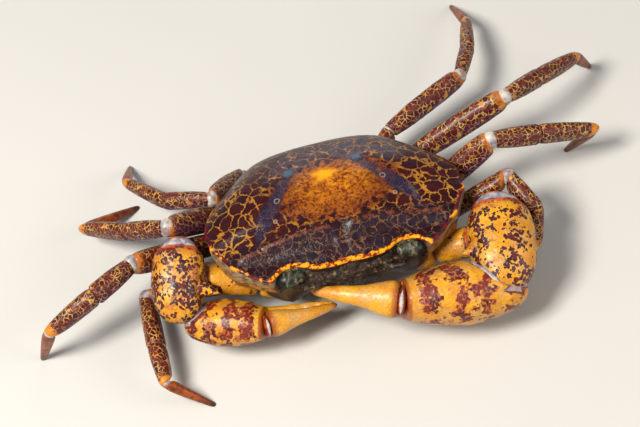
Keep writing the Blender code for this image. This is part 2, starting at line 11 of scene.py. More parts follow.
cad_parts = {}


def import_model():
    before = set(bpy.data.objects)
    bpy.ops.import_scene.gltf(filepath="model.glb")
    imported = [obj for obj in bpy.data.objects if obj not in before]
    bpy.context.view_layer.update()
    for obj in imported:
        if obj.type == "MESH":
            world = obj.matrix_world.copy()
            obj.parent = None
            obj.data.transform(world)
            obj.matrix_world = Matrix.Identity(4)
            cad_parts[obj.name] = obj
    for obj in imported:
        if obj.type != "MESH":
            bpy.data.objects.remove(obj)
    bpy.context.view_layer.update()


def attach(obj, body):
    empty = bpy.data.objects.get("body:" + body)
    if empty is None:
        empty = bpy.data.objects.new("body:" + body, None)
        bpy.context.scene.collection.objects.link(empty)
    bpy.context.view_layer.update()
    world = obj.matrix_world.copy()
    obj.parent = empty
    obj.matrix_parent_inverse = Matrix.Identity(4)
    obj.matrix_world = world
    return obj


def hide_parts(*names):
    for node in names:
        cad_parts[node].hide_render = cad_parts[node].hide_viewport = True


MM = 0.001
GAP = 0.3  # between neighbouring segments
PITCH = math.radians(7.0)  # the front of the body is held up by this much
BODY_LIFT = 12.4  # height over the floor of the plane through the widest part of the carapace
MIDDLE = Vector((-0.281, -8.5, 0.0))  # where the part's own middle lies from the middle of the footprint
CARAPACE_FLOOR = -3.8  # underside of the shell, in the body's own frame
STERNUM_FLOOR = -9.6
RIM_MIDDLE = 1.0  # y of the point that the shell's rim is drawn in towards
SIDES = ((1.0, "L"), (-1.0, "R"))
SHELL_LAYERS = ("rim", "furrow", "ridge", "below")  # what the shell's vertices note for its paint

# Left half of the shell's edge from the outer orbital tooth back: y, x, z in the body's own frame.
SIDE_EDGE = [
    (-11.6, 10.4, -0.9), (-10.9, 11.5, -0.8), (-9.9, 12.7, -0.7), (-8.9, 13.75, -0.45),
    (-8.2, 14.85, -0.2), (-7.5, 15.1, -0.2), (-6.4, 15.65, -0.1), (-5.4, 16.2, 0.1),
    (-4.6, 16.85, 0.4), (-3.8, 16.7, 0.35), (-2.6, 16.85, 0.25), (-1.2, 16.9, 0.1),
    (0.2, 16.6, -0.1), (1.7, 16.0, -0.35), (3.1, 15.1, -0.6), (4.5, 14.1, -0.9),
    (5.9, 13.1, -1.25), (7.3, 12.1, -1.7), (8.7, 11.1, -2.2), (9.9, 10.2, -2.7), (10.9, 9.3, -3.1),
]
# Front edge from the midline to the outer orbital tooth: x, y, z.
FRONT_EDGE = [
    (0.0, -10.95, -1.0), (2.2, -11.15, -0.9), (4.2, -11.05, -0.8), (5.2, -10.75, -0.7), (5.9, -10.4, -0.6),
    (6.9, -10.05, -0.5), (8.1, -10.1, -0.5), (9.2, -10.6, -0.6), (10.4, -11.6, -0.9),
]
# Rear edge from the midline to the last point of the side: x, y, z.
REAR_EDGE = [(0.0, 13.2, -3.7), (3.5, 12.9, -3.6), (6.5, 12.2, -3.4), (9.3, 10.9, -3.1)]
# Height of the shell along the midline: y, z.
MIDLINE = [
    (-10.95, -1.0), (-10.1, -0.5), (-8.8, 0.35), (-7.4, 1.15), (-6.6, 1.55), (-5.0, 2.05), (-2.0, 2.85),
    (1.0, 3.2), (4.0, 3.0), (6.5, 2.35), (8.5, 1.45), (10.3, -0.2), (11.8, -1.9), (13.2, -3.7),
]
# The shell's side wall: share of the way down, then how far in at the side, front, rear and orbit.
WALL = [
    (0.0, 0.0, 0.0, 0.0, 0.0), (0.1, -0.1, -0.1, -0.06, -0.1), (0.28, 0.25, 0.15, 0.1, 0.5),
    (0.52, 1.4, 0.4, 0.35, 0.75), (0.78, 2.9, 0.6, 0.6, 0.3), (0.91, 3.7, 0.7, 0.75, -0.7),
    (1.0, 4.3, 0.8, 0.9, -0.6),
]
# The trunk's side: share of the way down, height, then how far in at the side and in front.
TRUNK = [(0.0, -4.1, 4.6, 1.3), (0.2, -5.4, 5.4, 1.9), (0.42, -6.8, 5.9, 2.5), (0.7, -8.4, 6.6, 3.6),
         (1.0, STERNUM_FLOOR, 7.9, 5.2)]
SUTURES = (-6.2, -3.6, -0.6, 2.6, 5.6)  # y where the plates of the breast meet in the middle

# Joints of each walking leg from the body outwards.
LEGS = {
    "P2L": [(8.6, -4.3, 4.9), (13.0, -3.0, 5.4), (23.0, -3.0, 11.0), (25.2, -7.4, 8.8), (24.6, -9.6, 3.8),
            (19.6, -12.4, 0.2)],
    "P2R": [(-8.6, -4.4, 4.7), (-13.2, -3.2, 3.1), (-26.2, -3.0, 4.4), (-26.4, -11.4, 4.8),
            (-26.3, -16.7, 4.3), (-21.3, -18.7, 0.2)],
    "P3L": [(9.0, -0.2, 4.6), (13.2, 1.6, 5.2), (22.3, 2.1, 12.8), (29.0, 2.7, 10.8), (36.9, 3.7, 7.6),
            (34.3, 7.2, 0.2)],
    "P3R": [(-9.0, -0.2, 4.6), (-13.4, 3.0, 4.4), (-27.0, -1.6, 10.4), (-32.5, -5.4, 11.0),
            (-39.2, -7.2, 8.0), (-41.2, -5.2, 0.2)],
    "P4L": [(8.8, 4.0, 4.3), (12.4, 8.2, 5.4), (26.2, 8.9, 12.4), (32.0, 12.3, 10.6), (38.6, 16.8, 7.4),
            (41.8, 20.6, 0.2)],
    "P4R": [(-8.8, 4.0, 4.3), (-12.3, 6.9, 4.5), (-21.4, 1.1, 12.6), (-26.4, 5.0, 8.8), (-32.1, 10.6, 4.6),
            (-24.8, 15.4, 0.2)],
    "P5L": [(7.0, 7.7, 4.4), (11.0, 13.0, 6.2), (22.4, 17.8, 8.2), (25.1, 23.6, 6.8), (26.8, 30.5, 4.6),
            (26.5, 37.6, 0.2)],
    "P5R": [(-7.0, 7.7, 4.4), (-10.0, 12.6, 4.8), (-14.7, 6.5, 9.4), (-20.7, 9.3, 7.8), (-25.2, 16.3, 5.0),
            (-24.3, 22.6, 0.2)],
}
LEG_SCALE = {"P2": 1.02, "P3": 1.05, "P4": 1.0, "P5": 0.9}
# Leg segments: fraction of length, half width, half height.
LEG_PARTS = {
    "coxa": [(0.0, 0.5, 0.5), (0.3, 1.1, 1.2), (0.6, 1.3, 1.4), (0.85, 1.3, 1.4), (1.0, 1.1, 1.25)],
    "merus": [(0.0, 0.95, 1.15), (0.1, 1.1, 1.35), (0.35, 1.2, 1.6), (0.7, 1.22, 1.65), (0.93, 1.15, 1.5),
              (1.0, 0.95, 1.2)],
    "carpus": [(0.0, 0.85, 0.95), (0.15, 1.0, 1.15), (0.55, 1.15, 1.35), (0.9, 1.17, 1.38),
               (1.0, 1.08, 1.26)],
    "propodus": [(0.0, 1.04, 1.22), (0.12, 1.12, 1.32), (0.5, 1.05, 1.25), (0.88, 0.86, 1.02),
                 (1.0, 0.7, 0.84)],
    "dactylus": [(0.0, 0.58, 0.68), (0.12, 0.7, 0.82), (0.45, 0.6, 0.7), (0.8, 0.42, 0.5), (1.0, 0.3, 0.34)],
}

# Points of each claw, the way its upper side faces, and its carpus's half sizes: inner, outer and tall.
CLAWS = {
    "P1L": {
        "scale": 1.0, "dorsal": (-0.08, -0.61, 0.79), "arm": ((6.6, -8.2, 5.2), (18.6, -9.7, 8.7)),
        "carpus": ((20.4, -5.5, 11.6), (18.0, -18.7, 8.2)), "carpus_size": (4.0, 4.7, 3.5),
        "spine": (13.9, -13.1, 10.9), "palm": ((21.2, -17.0, 6.2), (5.5, -15.7, 7.8)),
        "tip": (-5.7, -12.0, 9.6),
    },
    "P1R": {
        "scale": 0.72, "dorsal": (-0.07, -0.80, 0.60), "arm": ((-6.6, -8.2, 5.0), (-19.0, -4.1, 7.8)),
        "carpus": ((-20.2, -0.7, 12.6), (-23.0, -10.4, 7.5)), "carpus_size": (3.4, 3.5, 2.9),
        "spine": (-16.9, -8.9, 9.6), "palm": ((-22.0, -9.0, 5.5), (-12.3, -12.6, 6.0)),
        "tip": (-2.6, -12.1, 5.4),
    },
}
# The soft skin that shows between carpus and palm on the left claw's upper side.
WRIST_SKIN = [(14.5, -13.9, 9.6), (15.15, -15.3, 10.5), (15.9, -16.6, 10.85), (16.7, -17.8, 10.75),
              (17.5, -18.8, 10.1)]
# The pearly skin at the carpus's start ends in an arch: its share of the length, and its drop at the flanks.
ARCH, ARCH_DROP = 0.235, 0.07
# Fraction of the carpus's length, and the share of its full size there.
EGG = [(0.0, 0.0), (0.012, 0.28), (0.05, 0.52), (0.13, 0.75), (0.27, 0.94), (0.45, 1.0), (0.62, 0.99),
       (0.78, 0.88), (0.9, 0.68), (0.97, 0.42), (0.99, 0.26), (1.0, 0.0)]

KNUCKLE_RISE = 1.75  # height of the moving finger's root over the palm's axis, before the claw's scale

# The camera stands where the photograph was taken from, in millimetres and degrees.
CAMERA_PLACE = (-22.6, -179.6, 232.9)
CAMERA_AIM = (-1.6, -6.1, 6.0)
CAMERA_ROLL = -8.6
CAMERA_LENS = 121.6


def body(x, y, z):
    """A point of the body's own frame, in the model's frame, in millimetres."""
    return Vector((x, y * math.cos(PITCH) + z * math.sin(PITCH),
                   z * math.cos(PITCH) - y * math.sin(PITCH) + BODY_LIFT)) + MIDDLE


def placed(point):
    """A limb table's point, in the model's frame."""
    return Vector(point) + MIDDLE


def clamp(value, low=0.0, high=1.0):
    return max(low, min(high, value))


def bell(value, width):
    return math.exp(-((value / width) ** 2))


def reading(rows, x, limited=True):
    """A smooth curve through rows of (x, value, ...), read at x. Limited, it never swings past a row."""
    last = len(rows) - 2
    k = 0
    while k < last and x > rows[k + 1][0]:
        k += 1
    a, b = rows[k], rows[k + 1]
    before = rows[k - 1] if k else None
    after = rows[k + 2] if k < last else None
    h = b[0] - a[0]
    t = clamp((x - a[0]) / h)
    values = []
    for c in range(1, len(a)):
        slope = (b[c] - a[c]) / h
        slopes = []
        for p, q in ((before, b), (a, after)):
            if p is None or q is None:
                slopes.append(slope)
                continue
            middle = a if q is b else b
            one = (middle[c] - p[c]) / (middle[0] - p[0])
            two = (q[c] - middle[c]) / (q[0] - middle[0])
            if limited:
                slopes.append(0.0 if one * two <= 0 else 2 * one * two / (one + two))
            else:
                slopes.append((q[c] - p[c]) / (q[0] - p[0]))
        m1, m2 = slopes[0] * h, slopes[1] * h
        values.append(a[c] * (2 * t**3 - 3 * t**2 + 1) + m1 * (t**3 - 2 * t**2 + t)
                      + b[c] * (3 * t**2 - 2 * t**3) + m2 * (t**3 - t**2))
    return values


def added(name, data):
    """A new object in the scene."""
    obj = bpy.data.objects.new(name, data)
    bpy.context.scene.collection.objects.link(obj)
    return obj


def meshed(name, bm, paint):
    mesh = bpy.data.meshes.new(name)
    bm.to_mesh(mesh)
    bm.free()
    mesh.materials.append(paint)
    return added(name, mesh)


def piece(name, bm, paint, nodes=()):
    """A finished piece of the model, which rides on the one body and stands for CAD nodes."""
    obj = meshed(name, bm, paint)
    obj.data.shade_smooth()
    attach(obj, "root")
    if nodes:
        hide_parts(*nodes)


def dressed(node, bm, paint):
    """A piece that stands for one CAD node and is named after it."""
    piece(node + "_shell", bm, paint, nodes=[node])


def rolled_grid(bm, place, around, along):
    """A grid rolled up into a closed skin. place(turn, share) gives each vertex's point, with the turn
    going once round and the share running from one end, drawn to a point, to the other."""
    skin = bm.loops.layers.uv.get("skin") or bm.loops.layers.uv.new("skin")
    made = bmesh.ops.create_grid(bm, x_segments=around, y_segments=along, size=0.5)["verts"]
    flat = {v: (v.co.x + 0.5, v.co.y + 0.5) for v in made}
    for face in {f for v in made for f in v.link_faces}:
        for loop in face.loops:
            loop[skin].uv = flat[loop.vert]
    for v in made:
        v.co = place(*flat[v]) * MM
    bmesh.ops.remove_doubles(bm, verts=made, dist=2e-7)


def closed_skin(place, around, along):
    bm = bmesh.new()
    rolled_grid(bm, place, around, along)
    bmesh.ops.recalc_face_normals(bm, faces=bm.faces)
    return bm


def oval(turn, inner, outer, high, low, power):
    """A point of a rounded box of a ring: its turn starts at the outer side and comes over the top."""
    c, s = math.cos(2 * math.pi * turn), math.sin(2 * math.pi * turn)
    x = math.copysign(abs(c) ** (2 / power), c) * (outer if c > 0 else inner)
    y = math.copysign(abs(s) ** (2 / power), s) * (high if s > 0 else low)
    return x, y


def even_oval(turn, wide, tall, power=2.0):
    return oval(turn, wide, wide, tall, tall, power)


def square_to(up, axis):
    """The unit vector square to an axis that lies nearest to up."""
    return (up - axis * up.dot(axis)).normalized()


def grain(point, size, height):
    """Small unevenness of the shell at a point in millimetres."""
    return height * noise.noise(Vector(point) / size)


def joint_plane(points, k):
    """Normal of the plane in which the segments before and after joint k meet."""
    before = (points[k] - points[k - 1]).normalized() if k else None
    after = (points[k + 1] - points[k]).normalized() if k + 1 < len(points) else None
    if before is None or after is None:
        return before or after
    return (before + after).normalized()


def segment(points, k, profile, scale, up, start_gap=GAP, end_gap=GAP, keel=0.0):
    """place(turn, share) of the limb segment from joint k to joint k + 1. It ends on the planes that it
    shares with its neighbours."""
    a, b = points[k], points[k + 1]
    axis = (b - a).normalized()
    up = square_to(up, axis)
    side = axis.cross(up)
    start, end = joint_plane(points, k), joint_plane(points, k + 1)
    a = a + axis * (start_gap / 2 / axis.dot(start))
    b = b - axis * (end_gap / 2 / axis.dot(end))
    length = (b - a).length
    widest = max(w for _, w, _ in profile) * scale
    reach_a, reach_b = [min(length, 1.3 * widest * math.tan(math.acos(min(1.0, axis.dot(plane)))) + 0.01)
                        for plane in (start, end)]
    cap = 0.05

    def place(turn, share):
        t = clamp((share - cap) / (1 - 2 * cap))
        swell = clamp(min(share, 1 - share) / cap)
        wide, tall = reading(profile, t)
        near_end = min(t, 1 - t) * length
        swell *= scale * (1 - 0.1 * clamp(1 - near_end / 0.35) ** 2)
        x, y = even_oval(turn, wide, tall, 2.25)
        y += keel * bell((turn % 1.0) - 0.25, 0.06) * math.sin(math.pi * t)
        off = side * (x * swell) + up * (y * swell)
        off *= 1 + grain(a + off + axis * t * length, 0.8, 0.018)
        slide = -off.dot(start) / axis.dot(start) * max(0.0, 1.0 - t * length / reach_a)
        slide -= off.dot(end) / axis.dot(end) * max(0.0, 1.0 - (1.0 - t) * length / reach_b)
        return a + axis * (t * length + slide) + off

    return place


def lofted(rows, up, power, bumps):
    """place(turn, share) of a skin through rows of (share, centre x, y, z, axis x, y, z, inner, outer,
    high, low)."""

    def place(turn, share):
        cx, cy, cz, ax, ay, az, inner, outer, high, low = reading(rows, share)
        centre, axis = Vector((cx, cy, cz)), Vector((ax, ay, az)).normalized()
        lift = square_to(up, axis)
        x, y = oval(turn, inner, outer, high, low, power)
        point = centre + axis.cross(lift) * x + lift * y
        out = point - centre
        if out.length > 0.01:
            point += out.normalized() * grain(point, 1.1, bumps)
        return point

    return place


def shell_relief(x, y):
    """Crest, grooves and swellings of the shell's top, in millimetres, with how much of a point is groove."""
    ax = abs(x)
    crest = -6.9 + 0.012 * (ax - 3.0) ** 2 * (-0.6 if ax > 3 else 0.4)
    fade = clamp((ax - 0.7) / 0.8) * clamp((14.6 - ax) / 1.5)
    ridge = fade * bell(y - crest, 0.75)
    h = 0.32 * ridge - 0.25 * fade * bell(y - crest + 1.7, 1.1)
    (groove,) = reading([(4.4, 2.9), (5.5, 1.3), (7.0, -1.2), (8.9, -3.2), (11.0, -5.6)], ax)
    near = clamp((ax - 3.6) / 1.0) * clamp((11.6 - ax) / 1.5)
    furrow = near * bell(y - groove, 1.7)
    pit = math.exp(-((ax - 4.5) ** 2 + (y - 2.9) ** 2) / 1.3)
    h -= 0.3 * furrow * (1 - 0.6 * pit) + 0.02 * pit
    h -= 0.22 * bell(x, 0.7) * bell(y + 8.2, 2.0)
    h += 0.3 * bell(ax - 4.4, 3.2) * bell(y + 2.0, 3.4)
    h += 0.25 * bell(ax - 10.5, 3.5) * bell(y - 1.5, 4.0)
    h -= 0.06 * bell(ax - 3.1 - 0.25 * (y - 4.0), 0.7) * clamp((y - 3.0) / 1.0) * clamp((8.5 - y) / 2.0)
    h += 0.03 * ridge * math.sin(ax * 11.0) * math.sin(y * 9.0 + ax * 2.0)
    return h, max(furrow, pit), ridge


def shell_point(u, v):
    """A point of the shell's top at share u of its half width and share v of its length."""
    y_first, y_last = SIDE_EDGE[0][0], SIDE_EDGE[-1][0]
    edge_y = y_first + (y_last - y_first) * v
    edge_x, edge_z = reading(SIDE_EDGE, edge_y)
    au = abs(u)
    fy, fz = reading(FRONT_EDGE, au * FRONT_EDGE[-1][0])
    ry, rz = reading(REAR_EDGE, au * REAR_EDGE[-1][0])
    x = edge_x * au
    y = edge_y + (fy - y_first) * (1 - v) ** 2 + (ry - y_last) * v**1.12
    (mid,) = reading(MIDLINE, y, limited=False)
    z = edge_z + (mid - edge_z) * (1 - au**2.6)
    relief, furrow, ridge = shell_relief(math.copysign(x, u), y)
    inside = clamp((1 - au) * 9) * clamp(v * 12) * clamp((1 - v) * 8)
    z += relief * inside
    z += (fz - z) * clamp(1 - v * 14) ** 2 + (rz - z) * clamp(1 - (1 - v) * 14) ** 2
    return (math.copysign(x, u), y, z), furrow * inside, ridge * inside


def drawn_in(point, inset, z):
    """A point of the rim moved towards the middle of the shell, at height z."""
    x, y = point[0], point[1] - RIM_MIDDLE
    k = 1 - inset / math.hypot(x, y)
    return Vector((x * k, y * k + RIM_MIDDLE, z))


def in_orbit(point):
    """How far a rim point lies in the eye's notch, from 0 to 1."""
    x = abs(point[0])
    if point[1] > -9.0:
        return 0.0
    return clamp(min((x - 5.0) / 1.4, (10.5 - x) / 1.3))


def wall_point(rim, down):
    """The point of the side wall below a rim point, at a share of the way down."""
    side, front, rear, orbit = reading(WALL, down)
    ahead = clamp((-rim[1] - 8.0) / 3.0)
    behind = clamp((rim[1] - 8.0) / 3.0)
    side *= 1 - 0.9 * clamp((0.5 - rim[1]) / 6.0)
    inset = side + (front - side) * ahead + (rear - side) * behind
    inset += (orbit - inset) * in_orbit(rim)
    return drawn_in(rim, inset, rim[2] + (CARAPACE_FLOOR - rim[2]) * down)


def shell_lift(point, away):
    """How far the edge's beads, the grit of the front and the grain lift a point of the shell's top that lies
    so far away from the edge."""
    lift = 0.0
    if point.y < -8.5 and abs(point.x) < 10.6:
        lift = 0.1 * bell(away - 0.18, 0.2) * (0.6 + 0.6 * math.sin(point.x * 15.0))
    elif point.y < 3.5:
        lift = 0.07 * bell(away - 0.15, 0.2) * (0.4 + 0.6 * math.sin(point.y * 11.0))
    front = clamp((-6.0 - point.y) / 1.5)
    front += clamp((abs(point.x) - 11.0) / 3.0) * clamp((1.0 - point.y) / 4.0)
    lift += clamp(front) * 0.035 * max(0.0, noise.noise(point * 2.6))
    lift += grain(point, 1.6, 0.02)
    return lift * clamp(away / 0.08)


def draw_walls(bm, rims, below):
    """Draws the shell's edge down into its side walls in rings, and closes them below. rims holds the point
    of the rim of each vertex on the edge, and the layer notes the share of the way down."""
    steps = 24
    ring = [e for e in bm.edges if e.is_boundary]
    for step in range(1, steps + 1):
        down = (step / steps) ** 1.2
        made = bmesh.ops.extrude_edge_only(bm, edges=ring)["geom"]
        fresh = [g for g in made if isinstance(g, bmesh.types.BMVert)]
        for v in fresh:
            rims[v] = next(rims[e.other_vert(v)] for e in v.link_edges
                           if e.other_vert(v) in rims and (e.other_vert(v).co - v.co).length < 1e-9)
        for v in fresh:
            point = wall_point(rims[v], down)
            rough = 0.05 * max(0.0, noise.noise(point * 2.2)) * clamp(down * 4)
            v.co = body(*drawn_in(point, -rough, point.z)) * MM
            v[below] = down
        ring = [g for g in made if isinstance(g, bmesh.types.BMEdge) and g.is_boundary]
    bmesh.ops.holes_fill(bm, edges=[e for e in bm.edges if e.is_boundary])


def carapace(paint):
    """The back shell: a grid shaped to the shell's top, with its edge drawn down into the side walls."""
    bm = bmesh.new()
    for name in SHELL_LAYERS:
        bm.verts.layers.float.new(name)
    rim, furrow, ridge, below = [bm.verts.layers.float[name] for name in SHELL_LAYERS]
    bmesh.ops.create_grid(bm, x_segments=170, y_segments=120, size=1.0)
    home = {}
    for v in bm.verts:
        u = math.sin(v.co.x * math.pi / 2) * 0.35 + v.co.x * 0.65
        point, v[furrow], v[ridge] = shell_point(u, (v.co.y + 1) / 2)
        home[v] = Vector(point)
    rims = {v: home[v] for v in bm.verts if v.is_boundary}
    finder = KDTree(len(rims))
    for k, point in enumerate(rims.values()):
        finder.insert(point, k)
    finder.balance()
    for v, point in home.items():
        away = v[rim] = finder.find(point)[2]
        v.co = body(point.x, point.y, point.z + shell_lift(point, away)) * MM
    draw_walls(bm, rims, below)
    bmesh.ops.recalc_face_normals(bm, faces=bm.faces)
    piece("back_shell", bm, paint, nodes=["carapace"])


def rim_at(turn):
    """A point of the shell's rim, going once round it from the middle of the front."""
    mirrored = turn > 0.5
    t = 2 * (1 - turn if mirrored else turn)
    front, side = 0.25, 0.75
    if t < front:
        x = FRONT_EDGE[-1][0] * t / front
        y, z = reading(FRONT_EDGE, x)
    elif t < side:
        y = SIDE_EDGE[0][0] + (SIDE_EDGE[-1][0] - SIDE_EDGE[0][0]) * (t - front) / (side - front)
        x, z = reading(SIDE_EDGE, y)
    else:
        x = REAR_EDGE[-1][0] * (1 - t) / (1 - side)
        y, z = reading(REAR_EDGE, x)
    return Vector((-x if mirrored else x, y, z))


def trunk_point(turn, down, grow=0.0):
    """A point of the trunk's side below the shell, in the body's frame."""
    rim = rim_at(turn)
    z, inset, nose = reading(TRUNK, down)
    ahead = clamp((-rim.y - 6.0) / 4.0)
    behind = clamp((rim.y - 7.0) / 4.0)
    amount = inset + (nose - inset) * ahead + (nose * 0.9 - inset) * behind
    amount -= 1.2 * in_orbit(rim)
    return drawn_in(rim, amount - grow, z)


def trunk(paint):
    """The trunk with its breast plates below. Its grid runs over the roof, the sides and the floor."""
    roof_end, side_end = 0.03, 0.6

    def place(turn, share):
        if share <= roof_end:
            point = trunk_point(turn, 0.0)
            return body(*(Vector((0.0, 0.5, point.z)).lerp(point, share / roof_end)))
        point = trunk_point(turn, clamp((share - roof_end) / (side_end - roof_end)))
        if share > side_end:
            inward = (share - side_end) / (1 - side_end)
            point = point.lerp(Vector((0.0, RIM_MIDDLE, point.z)), inward)
            seam = max(bell(point.y - y - 0.16 * abs(point.x), 0.28) for y in SUTURES)
            point.z += 0.22 * seam * clamp(abs(point.x) / 1.5) * clamp(inward * 8)
            point.z -= 0.12 * clamp(inward * 5) * bell(abs(point.x) - 4.0, 2.5) - 0.12
        return body(*point)

    piece("breast", closed_skin(place, 132, 90), paint, nodes=["thorax"])


def plate(name, path, paint, node, thick, seams, centre_x=0.0):
    """A curved plate over rows of (share, y, z, half width) of its inner face, with seams across it."""

    def place(turn, share):
        y, z, w = reading(path, share)
        y0, z0, _ = reading(path, max(0.0, share - 0.02))
        y1, z1, _ = reading(path, min(1.0, share + 0.02))
        length = math.hypot(y1 - y0, z1 - z0)
        ny, nz = (z0 - z1) / length, (y1 - y0) / length
        swell = clamp(min(share, 1 - share) / 0.02)
        x, d = even_oval(turn, w * swell, 0.5 * swell, 2.6)
        seam = max((bell(share - s, 0.012) for s in seams), default=0.0) if d > 0 else 0.0
        depth = thick * (0.5 + d * (1 - 0.35 * seam))
        return body(centre_x + x, y + ny * depth, z + nz * depth)

    piece(name, closed_skin(place, 40, 90), paint, nodes=[node])


def trunk_line(front):
    """(y, z) of the trunk's midline, grown by the gap, down its front or its rear."""
    rows = []
    for down, *_ in TRUNK:
        point = trunk_point(0.0 if front else 0.5, down, GAP + 0.05)
        rows.append((point.y, point.z - (GAP + 0.05 if down == 1.0 else 0.0)))
    return rows


def with_shares(rows):
    """Rows of (y, z, width) with their share of the way along put first."""
    lengths = [0.0]
    for a, b in zip(rows, rows[1:]):
        lengths.append(lengths[-1] + math.hypot(b[0] - a[0], b[1] - a[1]))
    return [(s / lengths[-1], *row) for s, row in zip(lengths, rows)]


def abdomen(paint):
    """The tail flap, folded from the trunk's rear under the breast."""
    rear = trunk_line(front=False)
    floor = rear[-1][1]
    path = [(rear[0][0], -4.9)] + rear[1:] + [(4.0, floor), (1.5, floor), (-1.0, floor), (-3.0, floor)]
    widths = [4.4, 4.9, 4.9, 4.4, 3.2, 2.4, 2.1, 1.9, 0.8]
    rows = with_shares([(y, z, w) for (y, z), w in zip(path, widths)])
    plate("tail_flap", rows, paint, "abdomen", 0.75, (0.1, 0.21, 0.33, 0.46, 0.6, 0.74))


def mouth(paint):
    """The two lids of the mouth."""
    front = trunk_line(front=True)
    path = [(front[1][0], -5.0)] + front[1:]
    rows = with_shares([(y, z, w) for (y, z), w in zip(path, (1.4, 1.75, 1.85, 1.7, 1.1))])
    for side, letter in SIDES:
        plate("mouth_lid_" + letter, rows, paint, "maxilliped_" + letter, -0.8, (0.36,),
              centre_x=side * 2.05)


def face(paint):
    """The dark face between the eyes, below the front edge, with its hollows and ridges."""
    half_width = 8.4

    def place(turn, share):
        x = half_width * -math.cos(math.pi * share)
        swell = math.sin(math.pi * share) ** 0.5
        d, h = oval(turn, 0.95 * swell, 0.95 * swell, 1.9 * swell, 2.3 * swell, 2.4)
        near_eye = clamp((abs(x) - 4.6) / 1.6)
        y = -10.15 + 0.5 * near_eye + 0.1 * clamp(abs(x) / 4.0)
        z = -3.3 - 0.25 * near_eye
        if d > 0:
            d += 0.22 * bell(h - 0.1, 0.22) * clamp((7.4 - abs(x)) / 0.8)
            d -= 0.3 * bell(abs(x) - 2.3, 1.0) * bell(h - 1.0, 0.6)
            d += 0.16 * bell(h + 0.75 + 0.12 * abs(x), 0.16) + 0.15 * bell(x, 0.4) * bell(h, 0.9)
            d += 0.1 * noise.noise(Vector((x * 1.7, h * 1.7, 0.0)))
        return body(x, y - d, z + h)

    piece("face", closed_skin(place, 72, 160), paint)


def eye_place(side):
    """place(turn, share) of an eye on its ringed stalk."""
    a, b = body(side * 6.1, -10.6, -1.95), body(side * 9.7, -11.05, -1.95)
    rows = [(0.0, 0.0), (0.03, 0.45), (0.1, 0.75), (0.3, 0.9), (0.5, 1.05), (0.7, 1.1), (0.86, 0.88),
            (0.96, 0.48), (1.0, 0.0)]
    axis = (b - a).normalized()
    up = square_to(Vector((0.0, -0.3, 1.0)), axis)

    def place(turn, share):
        (r,) = reading(rows, share)
        r += 0.04 * math.sin(share * 30.0 + 2.5 * math.cos(turn * 2 * math.pi)) * clamp((0.6 - share) / 0.1)
        x, y = even_oval(turn, r, r)
        return a + (b - a) * share + axis.cross(up) * x + up * y

    return place


def eyes(paint):
    for side, letter in SIDES:
        piece("eye_and_stalk_" + letter, closed_skin(eye_place(side), 56, 64), paint, nodes=["eye_" + letter])


def sockets(paint):
    """The lining of each eye's notch, in curved folds behind the eye."""
    for side, letter in SIDES:

        def place(turn, share):
            x = 5.2 + 4.9 * share
            swell = math.sin(math.pi * share) ** 0.5
            d, h = oval(turn, 0.5 * swell, 0.75 * swell, 1.05 * swell, 1.2 * swell, 2.2)
            folds = 0.06 * math.sin(9.0 * math.hypot(x - 7.9, h + 0.4)) * swell
            return body(side * x, -9.75 - 0.9 * bell(x - 10.2, 1.4) + d - folds, -1.85 + h)

        piece("eye_socket_" + letter, closed_skin(place, 40, 80), paint)


def tapered(path, radii):
    """place(turn, share) of a thin tapering tube along a short path of points."""
    count = len(path) - 1
    rows = [(k / count, *path[k], radii[k]) for k in range(count + 1)]

    def place(turn, share):
        before, after = [Vector(reading(rows, clamp(share + ahead))[:3]) for ahead in (-0.03, 0.03)]
        *centre, r = reading(rows, share)
        r *= math.sqrt(clamp(min(share, 1 - share) / 0.04))
        axis = (after - before).normalized()
        up = square_to(Vector((0.1, 0.0, 1.0)), axis)
        x, y = even_oval(turn, r, r)
        return Vector(centre) + axis.cross(up) * x + up * y

    return place


def antennae(paint):
    points = ((4.2, -11.6, -2.6), (4.8, -12.3, -2.6), (5.6, -12.7, -2.4), (6.7, -12.9, -2.2))
    for side, letter in SIDES:
        path = [body(side * x, y, z) for x, y, z in points]
        bm = closed_skin(tapered(path, (0.45, 0.38, 0.3, 0.24)), 20, 40)
        piece("feeler_" + letter, bm, paint, nodes=["antenna_" + letter])


def claw_arm(name, paint):
    """Coxa and merus of a claw limb."""
    claw = CLAWS[name]
    root, end = [placed(p) for p in claw["arm"]]
    s = 0.75 + 0.25 * claw["scale"]
    arm = [root, root + (end - root) * 0.4, end]
    up = Vector(claw["dorsal"])
    coxa = [(0.0, 0.5, 0.5), (0.4, 1.3, 1.4), (0.7, 1.6, 1.75), (0.85, 1.6, 1.75), (1.0, 1.35, 1.5)]
    merus = [(0.0, 1.3, 1.4), (0.12, 1.65, 1.8), (0.45, 1.95, 2.15), (0.85, 2.15, 2.35), (1.0, 1.8, 2.0)]
    dressed(name + "_coxa", closed_skin(segment(arm, 0, coxa, s, up), 48, 40), paint)
    bm = closed_skin(creased(name, segment(arm, 1, merus, s, up, end_gap=0.0, keel=0.1)), 64, 90)
    mark_joint(name, bm)
    dressed(name + "_merus", bm, paint)


def carpus_frame(name):
    """Ends, axis, up, side and sizes (inner, outer, tall) of a claw's carpus."""
    claw = CLAWS[name]
    a, b = [placed(p) for p in claw["carpus"]]
    inner, outer, tall = claw["carpus_size"]
    axis = (b - a).normalized()
    up = square_to(Vector(claw["dorsal"]), axis)
    if axis.cross(up).x * a.x < 0:
        inner, outer = outer, inner
    return a, b, axis, up, inner, outer, tall


